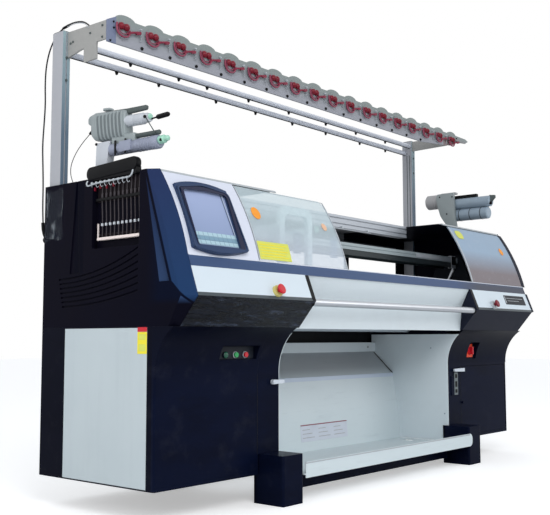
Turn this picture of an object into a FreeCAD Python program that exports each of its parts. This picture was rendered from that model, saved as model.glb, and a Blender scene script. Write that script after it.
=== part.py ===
import FreeCAD, Part
import math
import os
from FreeCAD import Vector as V

# Computerised flat knitting machine, millimetres.
# Working frame: X along the needle beds (left to right seen from the front), front faces -Y, Z up,
# X = 0 midway between the two end cabinets, Z = 0 on the floor.
# At export everything moves so that the origin is the centre of the base of the whole machine.

# ---------------------------------------------------------------- driving dimensions
LENGTH = 3516.0             # over the two end cabinets
REAR_Y = 549.0              # rear face of cabinets and housings
CAB_W = 868.0               # each end cabinet
PILLAR_W = 165.0            # cover strip beside the middle bay
CAB_FRONT_Y = -310.0        # vertical part of the cabinet front
CAB_BOTTOM_Z = 146.0
KNEE_Z = 660.0              # above this the front curves forward
KNEE_R = 270.0
SEAM_Z = 887.0              # cabinet top, housing bottom
ROOF_Z = 1620.0
SHEET = 6.0                 # cabinet walls
SKIN = 3.0                  # thin covers
ROOF_T = 4.0

NOSE_Y = -548.0             # the foremost edge, below the control strip
NOSE_Z = 1022.0
BELT_LOW_Y = -496.0         # rail under the clear covers
BELT_LOW_Z = 1157.0
BELT_TOP_Y = -481.0
BELT_TOP_Z = 1208.0
FASCIA_TOP_Y = -295.0
FASCIA_TOP_Z = 1608.0
FASCIA_BOW = 20.0           # forward bow of the slanted front
TOP_EDGE_Y = -275.0         # where the flat top begins

END_T = 38.0                # sculpted end panels
END_CHAMFER_TOP = 54.0
END_CHAMFER_LOW = 74.0
GROOVE_N = 7                # curved grooves pressed in the end panel
GROOVE_W = 9.0
GROOVE_DEEP = 6.0
FACET_TOP_Y = -229.0        # slanted facet in the side face behind the front chamfer
FACET_TOP_Z = 1605.0
FACET_REAR_Y = -333.0
FACET_FRONT_Y = -399.0
FACET_LOW_Z = 1090.0
FACET_DEEP = 18.0
POCKET_Y0 = -193.0          # yarn pocket in the left end panel
POCKET_Y1 = 156.0
POCKET_Z = 1269.0
POCKET_DEEP = 32.0
POCKET_WALL = 4.0

FOOT_IN = 12.0              # foot blocks stand this far inside the cabinets
FOOT_W = 162.0
FOOT_FRONT_Y = -465.0
FOOT_FRONT_L = 194.0
FOOT_FRONT_H = 248.0
FOOT_REAR_Y = 345.0
FOOT_REAR_L = 195.0
STAND_W = 144.0
STAND_TOP_Z = 960.0
BASE_BEAM_Z = 36.0
BASE_BEAM_H = 104.0
BASE_BEAM_T = 60.0

INNER_PANEL_T = 4.0
TRAY_T = 6.0
TRAY_LIP_Y = -475.0
LIP_LOW_Z = 124.0
LIP_TOP_Z = 205.0
CHUTE_T = 4.0
CLOTH_BAR_H = 64.0

BED_OVER = 25.0             # the 72 inch needle bed reaches into each cabinet
BED_APEX_Y = 28.0
BED_APEX_Z = 1222.0
BED_WIDTH = 238.0           # down the slope
BED_THICK = 24.0
NEEDLE_GROOVES = 12         # wide grooves in place of the hair-fine needle tricks
FABRIC_GAP = 30.0
BED_SETBACK = 238.0         # bed frame's end from the machine's end
END_PLATE_T = 20.0
SHELF_Z = 1040.0
SHELF_Y = 250.0
GUIDE_Y = 225.0
GUIDE_W = 20.0
GUIDE_H = 40.0

RAIL_Y = 50.0               # yarn rails: inner face
RAIL_T = 16.0
RAIL_Z = 1395.0
RAIL_H = 42.0
CARR_IN = 1068.0            # carriage at rest behind the left clear cover, from the left end
CARR_LEN = 400.0
CAM_GAP = 6.0               # cam plate over needle bed
CAM_THICK = 44.0
BOW_W = 300.0
BOW_TOP_Z = 1590.0
BOW_LEG = 45.0
BRIDGE_Z = 1450.0
BRIDGE_T = 34.0
SHOE_CLEAR = 0.5
SHOE_WALL = 6.0
RUN_CLEAR = 0.05            # radial clearance of small shafts
SLIDE_CLEAR = 0.5

TOP_BEAM_Z = 1540.0
TOP_BEAM_T = 60.0
COVER_T = 4.0
COVER_LEFT_IN = 522.0       # left clear cover from the left end
COVER_LEFT_L = 737.0
COVER_RIGHT_L = 782.0

POST_IN = 58.0              # inner face of the posts from the machine's end
POST_W = 45.0
POST_Y = 440.0
POST_D = 90.0
POST_TOP_Z = 2442.0
ARM_IN = 41.0               # outer face of the arms from the machine's end
ARM_T = 10.0
ARM_FRONT_Y = 125.0
BEAM_DROP = 122.0           # beam's lower edge under the posts' top
BEAM_H = 142.0
BEAM_T = 12.0
# the beam's pointed right end, from the machine's end outwards and over the lower edge
BEAM_TIP = [(245, 140), (289, 126), (244, 104), (110, 92), (20, 52), (-150, 30), (-311, 17), (-447, 4)]
HUMP_N = 18
HUMP_LEFT = 158.0           # first and last hump from the machine's ends
HUMP_RIGHT = -18.0
HUMP_H = 20.0
HUMP_HALF = 62.0
BEAM_SHOULDER = 28.0        # the left end is this much lower than the valleys
KNOB_DROP = 44.0            # tension knobs under the valley line
KNOB_R = 18.0
KNOB_OUT = 24.0
YARN_ARM = 86.0             # take-up arm beside each knob
TUBE_R = 17.0
EYE_SEAT = 13.0             # half width of the flat under the tube and of the eyelets on it
EYE_L = 20.0
EYE_T = 12.0
TUBE_FRONT_Y = 462.0
TUBE_FRONT_DROP = 41.0
TUBE_REAR_DROP = 93.0
TUBE_REAR_Y = 508.0

ROD_Y = -515.0
ROD_Z = 1017.0
ROD_R = 20.0
ROD_PIN_R = 8.0
ROLLER_Z = 905.0
ROLLER_R = 30.0
ROLLER_PIN_R = 10.0
DOOR_W = 673.0
DOOR_OUT = 23.0             # its outer edge from the machine's end
DOOR_Z0 = 167.0
DOOR_Z1 = 638.0
DOOR_T = 16.0
DOOR_GAP = 2.0
HINGE_GAP = 4.0             # lets the leaf swing past square
DOOR_PIN_R = 4.0

HALF = LENGTH / 2
BEAM_LOW_Z = POST_TOP_Z - BEAM_DROP
TUBE_FRONT_Z = POST_TOP_Z - TUBE_FRONT_DROP
TUBE_REAR_Z = POST_TOP_Z - TUBE_REAR_DROP
CAB_INNER = HALF - CAB_W
PILLAR_X = CAB_INNER + PILLAR_W
KNEE_Y = CAB_FRONT_Y - KNEE_R
END_IN = HALF - END_T
FOOT_X0 = CAB_INNER - FOOT_IN
BED_HALF = CAB_INNER + BED_OVER
BEDFRAME_HALF = HALF - BED_SETBACK
CARR_X0 = -HALF + CARR_IN
COVER_LEFT_X0 = -HALF + COVER_LEFT_IN
COVER_RIGHT_X0 = END_IN - 3 - COVER_RIGHT_L
POST_X = HALF - POST_IN
ARM_X = HALF - ARM_IN
HUMP_X = -HALF + HUMP_LEFT
HUMP_PITCH = (LENGTH - HUMP_LEFT - HUMP_RIGHT) / (HUMP_N - 1)
DOOR_X1 = HALF - DOOR_OUT
DOOR_X0 = DOOR_X1 - DOOR_W
pieces = {}
cords = []


# ---------------------------------------------------------------- helpers
def box(x0, x1, y0, y1, z0, z1):
    return Part.makeBox(abs(x1 - x0), y1 - y0, z1 - z0, V(min(x0, x1), y0, z0))


def cyl(x, y, z, r, length, axis):
    return Part.makeCylinder(r, length, V(x, y, z), V(*axis))


def section(x, start, steps):
    edges = []
    here = V(x, start[0], start[1])
    first = here
    for step in steps:
        if isinstance(step[0], tuple):
            mid = V(x, step[0][0], step[0][1])
            end = V(x, step[1][0], step[1][1])
            edges.append(Part.Arc(here, mid, end).toShape())
        else:
            end = V(x, step[0], step[1])
            edges.append(Part.makeLine(here, end))
        here = end
    if here.distanceToPoint(first) > 1e-6:
        edges.append(Part.makeLine(here, first))
    return Part.Wire(edges)


def prism(x0, x1, start, steps):
    face = Part.Face(section(min(x0, x1), start, steps))
    return face.extrude(V(abs(x1 - x0), 0, 0))


def polygon(x0, x1, points):
    return prism(x0, x1, points[0], points[1:])


def plate_xz(y0, y1, points):
    wire = Part.makePolygon([V(px, y0, pz) for px, pz in points + points[:1]])
    return Part.Face(wire).extrude(V(0, y1 - y0, 0))


def mirror(shape):
    return shape.mirror(V(0, 0, 0), V(1, 0, 0))


def side(shape, s):
    return shape if s > 0 else mirror(shape)


def fuse(first, *others):
    result = first
    for other in others:
        result = result.fuse(other)
    return result.removeSplitter()


def round_edges(shape, radius, test):
    edges = [e for e in shape.Edges if test(e)]
    return shape.makeFillet(radius, edges) if edges else shape


def along(edge, axis):
    a = edge.Vertexes[0].Point
    b = edge.Vertexes[-1].Point
    d = b - a
    return d.Length > 1e-6 and abs(getattr(d, axis)) > 0.999 * d.Length


def front_y(z, off=0.0):
    if z <= KNEE_Z:
        return CAB_FRONT_Y + off
    return KNEE_Y + math.sqrt((KNEE_R + off) ** 2 - (z - KNEE_Z) ** 2)


def front_arc(z0, z1, off):
    zm = (z0 + z1) / 2
    return ((front_y(zm, off), zm), (front_y(z1, off), z1))


def cabinet_solid(x0, x1, z0, z1, off, rear):
    steps = [(front_y(KNEE_Z, off), KNEE_Z), front_arc(KNEE_Z, z1, off), (rear, z1), (rear, z0)]
    return prism(x0, x1, (front_y(z0, off), z0), steps)


def slant(t, off=0.0):
    """Point on the slanted front: t = 0 at the rail, 1 at the top; off = distance outward."""
    dy = FASCIA_TOP_Y - BELT_TOP_Y
    dz = FASCIA_TOP_Z - BELT_TOP_Z
    chord = math.hypot(dy, dz)
    out = FASCIA_BOW * 4 * t * (1 - t) + off
    return (BELT_TOP_Y + dy * t - out * dz / chord, BELT_TOP_Z + dz * t + out * dy / chord)


def slant_sheet(x0, x1, off_out, off_in, top):
    sheet = prism(x0, x1, slant(0, off_out),
                  [(slant(top / 2, off_out), slant(top, off_out)), slant(top, off_in),
                   (slant(top / 2, off_in), slant(0, off_in))])
    return sheet.cut(box(x0 - 1, x1 + 1, NOSE_Y, FASCIA_TOP_Y, NOSE_Z, BELT_TOP_Z - min(0, off_out)))


def strip_point(t, off=0.0):
    """Point on the control strip: t = 0 at the rail, 1 at the nose; off = distance outward."""
    dy = NOSE_Y - BELT_LOW_Y
    dz = NOSE_Z - BELT_LOW_Z
    chord = math.hypot(dy, dz)
    return (BELT_LOW_Y + dy * t + off * dz / chord, BELT_LOW_Z + dz * t - off * dy / chord)


# ---------------------------------------------------------------- base
def stand():
    x1 = CAB_INNER + STAND_W
    web = box(CAB_INNER, x1, CAB_FRONT_Y + SHEET, REAR_Y - SHEET, CAB_BOTTOM_Z, STAND_TOP_Z)
    web = web.cut(box(CAB_INNER - 1, x1 + 1, CAB_FRONT_Y + 110, REAR_Y - 110,
                      FOOT_FRONT_H + 22, ROLLER_Z - 65))
    foot = box(FOOT_X0, FOOT_X0 + FOOT_W, FOOT_FRONT_Y, FOOT_FRONT_Y + FOOT_FRONT_L, 0, FOOT_FRONT_H)
    foot = round_edges(foot, 12, lambda e: along(e, "z") and e.BoundBox.YMax < FOOT_FRONT_Y + 1)
    heel = box(FOOT_X0, FOOT_X0 + FOOT_W, FOOT_REAR_Y, FOOT_REAR_Y + FOOT_REAR_L, 0, CAB_BOTTOM_Z)
    tie = box(CAB_INNER, x1, FOOT_FRONT_Y + FOOT_FRONT_L - 40, CAB_FRONT_Y + 110, CAB_BOTTOM_Z, FOOT_FRONT_H)
    hole = cyl(CAB_INNER - 1, 0, ROLLER_Z, ROLLER_PIN_R + RUN_CLEAR, 26, (1, 0, 0))
    return fuse(web, foot, heel, tie).cut(hole)


right_stand = stand()
left_stand = mirror(right_stand)


def base_beam(y0):
    z1 = BASE_BEAM_Z + BASE_BEAM_H
    beam = box(-FOOT_X0, FOOT_X0, y0, y0 + BASE_BEAM_T, BASE_BEAM_Z, z1)
    wall = 5
    return beam.cut(box(-FOOT_X0 - 1, FOOT_X0 + 1, y0 + wall, y0 + BASE_BEAM_T - wall,
                        BASE_BEAM_Z + wall, z1 - wall))


FRONT_BEAM_Y = CAB_FRONT_Y + 10
REAR_BEAM_Y = FOOT_REAR_Y + (FOOT_REAR_L - BASE_BEAM_T) / 2
pieces["front_base_beam"] = base_beam(FRONT_BEAM_Y)

# ---------------------------------------------------------------- end cabinets
BUTTON_X0 = -HALF + 410.0
BUTTON_X1 = BUTTON_X0 + 271.0
BUTTON_Z0 = 728.0
BUTTON_Z1 = 796.0
SWITCH_X0 = HALF - 611.0
SWITCH_X1 = SWITCH_X0 + 136.0
SWITCH_Z0 = 690.0
SWITCH_Z1 = 803.0
RECESS_Y = -300.0
BUTTON_Z = 751.0
LAMP_X = BUTTON_X0 + 52.0
START_X = BUTTON_X0 + 131.0
STOP_X = BUTTON_X0 + 203.0
BUTTON_R = 13.0
STEM_R = 6.0
SERVICE_Y0 = -258.0
SERVICE_Y1 = 357.0


def cabinet_shell():
    outer = cabinet_solid(PILLAR_X, HALF, CAB_BOTTOM_Z, SEAM_Z, 0, REAR_Y)
    inner = cabinet_solid(PILLAR_X + SHEET, HALF - SHEET, CAB_BOTTOM_Z + SHEET, SEAM_Z - SHEET,
                          SHEET, REAR_Y - SHEET)
    corner = [V(HALF - 8, CAB_FRONT_Y - 1, 0), V(HALF + 1, CAB_FRONT_Y - 1, 0), V(HALF + 1, CAB_FRONT_Y + 8, 0)]
    ease = Part.Face(Part.makePolygon(corner + corner[:1])).extrude(V(0, 0, KNEE_Z - 8))
    outer = outer.cut(ease)
    rear = box(CAB_INNER, PILLAR_X, REAR_Y - SHEET, REAR_Y, CAB_BOTTOM_Z, SEAM_Z)
    return fuse(outer.cut(inner), rear)


def recessed(shell, x0, x1, z0, z1, stems):
    wall = 4.0
    front = front_y(z1) + 1
    lining = box(x0 - wall, x1 + wall, front + 6, RECESS_Y + wall, z0 - wall, z1 + wall)
    lining = lining.common(cabinet_solid(-HALF, HALF, CAB_BOTTOM_Z, SEAM_Z, 0.5, REAR_Y))
    pocket = box(x0, x1, front_y(SEAM_Z), RECESS_Y, z0, z1)
    shell = fuse(shell, lining).cut(pocket)
    for sx, sz in stems:
        shell = shell.cut(cyl(sx, RECESS_Y - 1, sz, STEM_R + RUN_CLEAR, wall + 2, (0, 1, 0)))
    return shell


left = mirror(cabinet_shell())
left = left.cut(box(-HALF - 1, -HALF + SHEET, SERVICE_Y0, SERVICE_Y1, CAB_BOTTOM_Z + SHEET, SEAM_Z - SHEET))
left = recessed(left, BUTTON_X0, BUTTON_X1, BUTTON_Z0, BUTTON_Z1, [(START_X, BUTTON_Z), (STOP_X, BUTTON_Z)])
left = left.fuse(cyl(LAMP_X, RECESS_Y, BUTTON_Z, BUTTON_R, 9, (0, -1, 0)))
pieces["left_cabinet"] = left
pieces["left_service_panel"] = box(-HALF, -HALF + SHEET, SERVICE_Y0, SERVICE_Y1,
                                   CAB_BOTTOM_Z + SHEET, SEAM_Z - SHEET)

SWITCH_X = (SWITCH_X0 + SWITCH_X1) / 2
SWITCH_Z = (SWITCH_Z0 + SWITCH_Z1) / 2
HINGE_X = DOOR_X1 - DOOR_T / 2
HINGE_Y = CAB_FRONT_Y + DOOR_T / 2
right = cabinet_shell()
right = right.cut(box(DOOR_X0 - DOOR_GAP, DOOR_X1 + HINGE_GAP, CAB_FRONT_Y - 1, CAB_FRONT_Y + DOOR_T + 20,
                      DOOR_Z0 - DOOR_GAP, DOOR_Z1 + DOOR_GAP))
right = recessed(right, SWITCH_X0, SWITCH_X1, SWITCH_Z0, SWITCH_Z1, [(SWITCH_X, SWITCH_Z)])
PIN_L = 12.0
for z0, z1, zp in ((DOOR_Z0 - DOOR_GAP - 8, DOOR_Z0 - DOOR_GAP, DOOR_Z0 - DOOR_GAP),
                   (DOOR_Z1 + DOOR_GAP, DOOR_Z1 + DOOR_GAP + 8, DOOR_Z1 + DOOR_GAP - PIN_L)):
    lug = box(HINGE_X - 12, HINGE_X + 12, CAB_FRONT_Y, HINGE_Y + 10, z0, z1)
    pin = cyl(HINGE_X, HINGE_Y, zp - 1 if zp < 400 else zp, DOOR_PIN_R, PIN_L + 1, (0, 0, 1))
    right = right.fuse(lug).fuse(pin)
pieces["right_cabinet"] = right.removeSplitter()

leaf = box(DOOR_X0, HINGE_X, CAB_FRONT_Y, CAB_FRONT_Y + DOOR_T, DOOR_Z0, DOOR_Z1)
leaf = leaf.fuse(cyl(HINGE_X, HINGE_Y, DOOR_Z0, DOOR_T / 2, DOOR_Z1 - DOOR_Z0, (0, 0, 1)))
leaf = leaf.cut(box(DOOR_X0 + 20, HINGE_X - 20, CAB_FRONT_Y + 3, CAB_FRONT_Y + DOOR_T + 1,
                    DOOR_Z0 + 20, DOOR_Z1 - 20))
for z in (DOOR_Z0, DOOR_Z1 - PIN_L - 1):
    leaf = leaf.cut(cyl(HINGE_X, HINGE_Y, z - 1, DOOR_PIN_R + RUN_CLEAR, PIN_L + 3, (0, 0, 1)))
LOCK_X = DOOR_X0 + 15.0
LEVER_X = DOOR_X0 + 10.0
LEVER_Z = 616.0
leaf = leaf.fuse(cyl(LOCK_X, CAB_FRONT_Y, 392, 8, 12, (0, -1, 0)))
leaf = leaf.cut(cyl(LEVER_X, CAB_FRONT_Y - 1, LEVER_Z, STEM_R + RUN_CLEAR, 12, (0, 1, 0)))
pieces["cabinet_door"] = leaf


def turn_lever(x, z, reach):
    """Turned hub with a tapered grip; its stem runs in the sheet behind it."""
    y = CAB_FRONT_Y - SLIDE_CLEAR
    hub = cyl(x, y, z, 12, 16, (0, -1, 0))
    stem = cyl(x, y, z, STEM_R, 10, (0, 1, 0))
    s = 1 if reach > 0 else -1
    grip = plate_xz(y - 22, y - 12, [(x - s * 12, z - 12), (x - s * 12, z + 12), (x + reach, z + 9),
                                     (x + reach + s * 4, z), (x + reach, z - 9)])
    return fuse(hub, stem, grip)


pieces["door_lever"] = turn_lever(LEVER_X, LEVER_Z, -126)
LEFT_LEVER_X = -CAB_INNER - 55.0
LEFT_LEVER_Z = 608.0
pieces["left_lever"] = turn_lever(LEFT_LEVER_X, LEFT_LEVER_Z, 74)


def push_button(x, z):
    cap = cyl(x, RECESS_Y - 4.5, z, BUTTON_R, 10, (0, -1, 0))
    return fuse(cap, cyl(x, RECESS_Y - 5, z, STEM_R, 18, (0, 1, 0)))


pieces["start_button"] = push_button(START_X, BUTTON_Z)
pieces["stop_button"] = push_button(STOP_X, BUTTON_Z)
knob = cyl(SWITCH_X, RECESS_Y - SLIDE_CLEAR, SWITCH_Z, 30, 8, (0, -1, 0))
grip = box(SWITCH_X - 7, SWITCH_X + 7, RECESS_Y - 30, RECESS_Y - 8, SWITCH_Z - 26, SWITCH_Z + 26)
pieces["power_switch_knob"] = fuse(knob, grip, cyl(SWITCH_X, RECESS_Y - 1, SWITCH_Z, STEM_R, 14, (0, 1, 0)))


def pillar_cover(z0):
    outer = cabinet_solid(CAB_INNER, PILLAR_X, z0, SEAM_Z, 0, REAR_Y - SHEET)
    inner = cabinet_solid(CAB_INNER - 1, PILLAR_X + 1, z0 - 1, SEAM_Z + 1, SHEET, REAR_Y)
    return outer.cut(inner)


cover = pillar_cover(FOOT_FRONT_H)
PORT_X0 = CAB_INNER + 38.0
PORT_X1 = PORT_X0 + 104.0
port = box(PORT_X0, PORT_X1, CAB_FRONT_Y - 5, CAB_FRONT_Y, 446, 575)
pieces["right_pillar_cover"] = fuse(cover, port)
pieces["left_pillar_cover"] = mirror(cover).cut(
    cyl(LEFT_LEVER_X, CAB_FRONT_Y - 1, LEFT_LEVER_Z, STEM_R + RUN_CLEAR, SHEET + 2, (0, 1, 0)))
left_stand = left_stand.cut(cyl(LEFT_LEVER_X, CAB_FRONT_Y, LEFT_LEVER_Z, STEM_R + 1, 20, (0, 1, 0)))
pieces["base_frame"] = fuse(left_stand, right_stand, base_beam(REAR_BEAM_Y))

# ---------------------------------------------------------------- middle bay
BAR_Y0 = 275.0
BAR_Z = 740.0
BAR_T = 30.0
CHUTE = [(BAR_Y0 + BAR_T / 2, BAR_Z), (130, 590), (92, 373), (71, BASE_BEAM_Z + BASE_BEAM_H + TRAY_T)]
PANEL_TOP_Z = 860.0
TRAY_Z = BASE_BEAM_Z + BASE_BEAM_H
IN_X = CAB_INNER - INNER_PANEL_T


def inner_panel():
    panel = cabinet_solid(IN_X, CAB_INNER, CAB_BOTTOM_Z, PANEL_TOP_Z, 0, BAR_Y0 + BAR_T)
    foot = box(FOOT_X0 - 1, CAB_INNER + 1, FOOT_FRONT_Y, FOOT_FRONT_Y + FOOT_FRONT_L, 0, FOOT_FRONT_H)
    return panel.cut(foot)


pieces["right_inner_panel"] = inner_panel()
pieces["left_inner_panel"] = mirror(pieces["right_inner_panel"])

back = [(y + CHUTE_T, z) for y, z in reversed(CHUTE)]
pieces["cloth_chute"] = polygon(-IN_X, IN_X, CHUTE + back)
tray = box(-FOOT_X0, FOOT_X0, TRAY_LIP_Y + 4, CHUTE[-1][0] + CHUTE_T, TRAY_Z, TRAY_Z + TRAY_T)
tray = tray.cut(box(CAB_INNER - 139, CAB_INNER - 72, -104, -22, TRAY_Z - 1, TRAY_Z + TRAY_T + 1))
lip = box(-CAB_INNER + 20, CAB_INNER + 15, TRAY_LIP_Y, TRAY_LIP_Y + 4, LIP_LOW_Z, LIP_TOP_Z)
lip = round_edges(lip, (LIP_TOP_Z - LIP_LOW_Z) * 0.4, lambda e: along(e, "y") and e.BoundBox.XMin > 0)
pieces["cloth_tray"] = fuse(tray, lip)
pieces["cloth_bar"] = box(-IN_X, IN_X, BAR_Y0, BAR_Y0 + BAR_T, BAR_Z, BAR_Z + CLOTH_BAR_H)

roller = cyl(-CAB_INNER + 10, 0, ROLLER_Z, ROLLER_R, 2 * CAB_INNER - 20, (1, 0, 0))
axle = cyl(-CAB_INNER - 12, 0, ROLLER_Z, ROLLER_PIN_R, 2 * CAB_INNER + 24, (1, 0, 0))
pieces["takedown_roller"] = fuse(roller, axle)

CHEEK_T = 25.0
CHEEK_X = CAB_INNER - 18.0
COVER_EDGE = [(BELT_LOW_Y + 7, BELT_LOW_Z), (-434, 1050), (-432, 1040), (-417, 883)]


def front_cover(a, b):
    return polygon(-CHEEK_X, CHEEK_X, [a, b, (b[0] + SKIN, b[1]), (a[0] + SKIN, a[1])])


pieces["upper_front_cover"] = front_cover(COVER_EDGE[0], (-433, 1045))
pieces["lower_front_cover"] = front_cover((-433, 1045), COVER_EDGE[3])
rod = cyl(-CHEEK_X + 3, ROD_Y, ROD_Z, ROD_R, 2 * CHEEK_X - 6, (1, 0, 0))
rod_pin = cyl(-CHEEK_X - 12, ROD_Y, ROD_Z, ROD_PIN_R, 2 * CHEEK_X + 24, (1, 0, 0))
pieces["operating_rod"] = fuse(rod, rod_pin)

# ---------------------------------------------------------------- needle beds and their frame
S45 = math.sqrt(0.5)


def slope(along_bed, above):
    """Point of the front bed section: distance down the slope, height square to it."""
    y = BED_APEX_Y + (along_bed + above) * S45
    return (-y, BED_APEX_Z - (along_bed - above) * S45)


def bed_block(x0, x1, s0, s1, n0, n1):
    return polygon(x0, x1, [slope(s0, n0), slope(s1, n0), slope(s1, n1), slope(s0, n1)])


def flip_y(shape):
    return shape.mirror(V(0, 0, 0), V(0, 1, 0))


bed = bed_block(-BED_HALF, BED_HALF, 0, BED_WIDTH, -BED_THICK, 0)
step = 2 * BED_HALF / NEEDLE_GROOVES
for i in range(NEEDLE_GROOVES - 1):
    gx = -BED_HALF + (i + 1) * step
    bed = bed.cut(bed_block(gx - 4, gx + 4, -1, BED_WIDTH * 0.72, -3, 5))
pieces["front_needle_bed"] = bed
pieces["rear_needle_bed"] = flip_y(bed)

u0 = slope(0, -BED_THICK)
u1 = slope(BED_WIDTH, -BED_THICK)
rise = SHELF_Z - u1[1]
half_gap = FABRIC_GAP / 2
frame_points = [(-half_gap, u0[1] - (half_gap + u0[0])), u1, (u1[0] - rise, SHELF_Z), (-SHELF_Y, SHELF_Z),
                (-SHELF_Y, SHELF_Z - 40), (-SHELF_Y + 100, STAND_TOP_Z), (-60, STAND_TOP_Z),
                (-half_gap, STAND_TOP_Z + 40)]
half_frame = polygon(-BEDFRAME_HALF, BEDFRAME_HALF, frame_points)
guide = box(-BEDFRAME_HALF, BEDFRAME_HALF, -GUIDE_Y - GUIDE_W, -GUIDE_Y, SHELF_Z, SHELF_Z + GUIDE_H)
half_frame = fuse(half_frame, guide)
frame_solid = half_frame.fuse(flip_y(half_frame))
RAIL_TOP = RAIL_Z + RAIL_H
for x0 in (-BEDFRAME_HALF, BEDFRAME_HALF - END_PLATE_T):
    plate = polygon(x0, x0 + END_PLATE_T, [(-SHELF_Y, STAND_TOP_Z), (-SHELF_Y, SHELF_Z + GUIDE_H),
                                           (-RAIL_Y - RAIL_T - 14, RAIL_TOP + 20), (RAIL_Y + RAIL_T + 14, RAIL_TOP + 20),
                                           (SHELF_Y, SHELF_Z + GUIDE_H), (SHELF_Y, STAND_TOP_Z)])
    frame_solid = frame_solid.fuse(plate)
pieces["bed_frame"] = frame_solid.removeSplitter()


def yarn_rail():
    x1 = BEDFRAME_HALF - END_PLATE_T
    y0 = -RAIL_Y - RAIL_T
    mid = RAIL_Z + RAIL_H / 2
    rail = box(-x1, x1, y0, -RAIL_Y, RAIL_Z, RAIL_TOP)
    lower = box(-x1, x1, y0 + 4, -RAIL_Y, RAIL_Z - 34, RAIL_Z)
    rail = fuse(rail, lower)
    for yy, out in ((y0, -1), (-RAIL_Y, 1)):
        groove = polygon(-x1 - 1, x1 + 1, [(yy - out * 3, mid), (yy + out, mid - 4), (yy + out, mid + 4)])
        rail = rail.cut(groove)
    return rail


pieces["front_yarn_rail"] = yarn_rail()
pieces["rear_yarn_rail"] = flip_y(pieces["front_yarn_rail"])

# ---------------------------------------------------------------- carriage
CARR_X1 = CARR_X0 + CARR_LEN
BOW_X0 = CARR_X0 + (CARR_LEN - BOW_W) / 2
BOW_X1 = BOW_X0 + BOW_W
CAM_S0 = 30.0
CAM_S1 = BED_WIDTH - 13
cam_top = slope(CAM_S0, CAM_GAP + CAM_THICK)
cam_out = slope(CAM_S1, CAM_GAP + CAM_THICK)
LEG_Y = -cam_top[0]
LEG_T = 26.0


def half_carriage(bow_top):
    cam = bed_block(CARR_X0, CARR_X1, CAM_S0, CAM_S1, CAM_GAP, CAM_GAP + CAM_THICK)
    rib = bed_block(CARR_X0 + 40, CARR_X1 - 40, CAM_S0 + 60, CAM_S1 - 25, CAM_GAP + CAM_THICK, CAM_GAP + CAM_THICK + 22)
    low = slope(CAM_S0 + 40, CAM_GAP + CAM_THICK / 2)[1]
    bow = box(BOW_X0, BOW_X1, -LEG_Y - LEG_T, -LEG_Y, low, bow_top)
    bow = round_edges(bow, 60, lambda e: along(e, "y") and e.BoundBox.ZMin > bow_top - 1)
    hole = box(BOW_X0 + BOW_LEG, BOW_X1 - BOW_LEG, -LEG_Y - LEG_T - 1, -LEG_Y + 1, cam_top[1] + 14, bow_top - BOW_LEG)
    hole = round_edges(hole, 30, lambda e: along(e, "y") and e.BoundBox.ZMin > bow_top - BOW_LEG - 1)
    top = SHELF_Z + GUIDE_H + SHOE_CLEAR
    outer = -GUIDE_Y - GUIDE_W - SHOE_CLEAR - SHOE_WALL
    inner = -GUIDE_Y + SHOE_CLEAR + SHOE_WALL
    shoe = box(CARR_X0, CARR_X1, outer, inner, SHELF_Z + 4, top + 14)
    arm = box(CARR_X0, CARR_X1, inner - 1, slope(CAM_S1 - 20, CAM_GAP + 10)[0], top, top + 14)
    run = box(CARR_X0 - 1, CARR_X1 + 1, outer + SHOE_WALL, inner - SHOE_WALL, SHELF_Z, top)
    return fuse(cam, rib, bow.cut(hole), arm, shoe).cut(run)


front_half = half_carriage(BOW_TOP_Z)
rear_half = flip_y(half_carriage(BRIDGE_Z + BRIDGE_T))
carriage = front_half.fuse(rear_half)
for bx in (BOW_X0, BOW_X1 - BOW_LEG):
    carriage = carriage.fuse(box(bx, bx + BOW_LEG, -LEG_Y - 2, LEG_Y + 2, BRIDGE_Z, BRIDGE_Z + BRIDGE_T))
pieces["knitting_carriage"] = carriage.removeSplitter()

CARRIER_X = BEDFRAME_HALF - 93.0
CARRIER_W = 60.0
ry0 = -RAIL_Y - RAIL_T
saddle = box(CARRIER_X - CARRIER_W / 2, CARRIER_X + CARRIER_W / 2, ry0 - 7, -RAIL_Y + 7,
             RAIL_Z - 42, RAIL_TOP + 8)
saddle = saddle.cut(box(CARRIER_X - CARRIER_W, CARRIER_X + CARRIER_W, ry0 - SLIDE_CLEAR,
                        -RAIL_Y + SLIDE_CLEAR, RAIL_Z - 50, RAIL_TOP + SLIDE_CLEAR))
feed = polygon(CARRIER_X - 8, CARRIER_X + 8, [(ry0 - 7, RAIL_Z - 38), (ry0 - 1, RAIL_Z - 38), (-6, BED_APEX_Z + 16),
                                              (-6, BED_APEX_Z + 4), (-10, BED_APEX_Z + 4), (ry0 - 7, RAIL_Z - 60)])
pieces["yarn_carrier"] = fuse(saddle, feed)

# ---------------------------------------------------------------- upper housings
GROOVE_Y0 = BELT_TOP_Y + 3.5
GROOVE_Y1 = GROOVE_Y0 + COVER_T + 2 * SLIDE_CLEAR
RAIL_DEEP = 26.0
belt = polygon(-END_IN, END_IN, [(BELT_TOP_Y, BELT_TOP_Z), (BELT_LOW_Y, BELT_LOW_Z),
                                 (BELT_LOW_Y + RAIL_DEEP, BELT_LOW_Z), (BELT_TOP_Y + RAIL_DEEP, BELT_TOP_Z)])
belt = belt.cut(box(-END_IN - 1, END_IN + 1, GROOVE_Y0, GROOVE_Y1, BELT_TOP_Z - 12, BELT_TOP_Z + 1))
pieces["front_rail"] = belt


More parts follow.
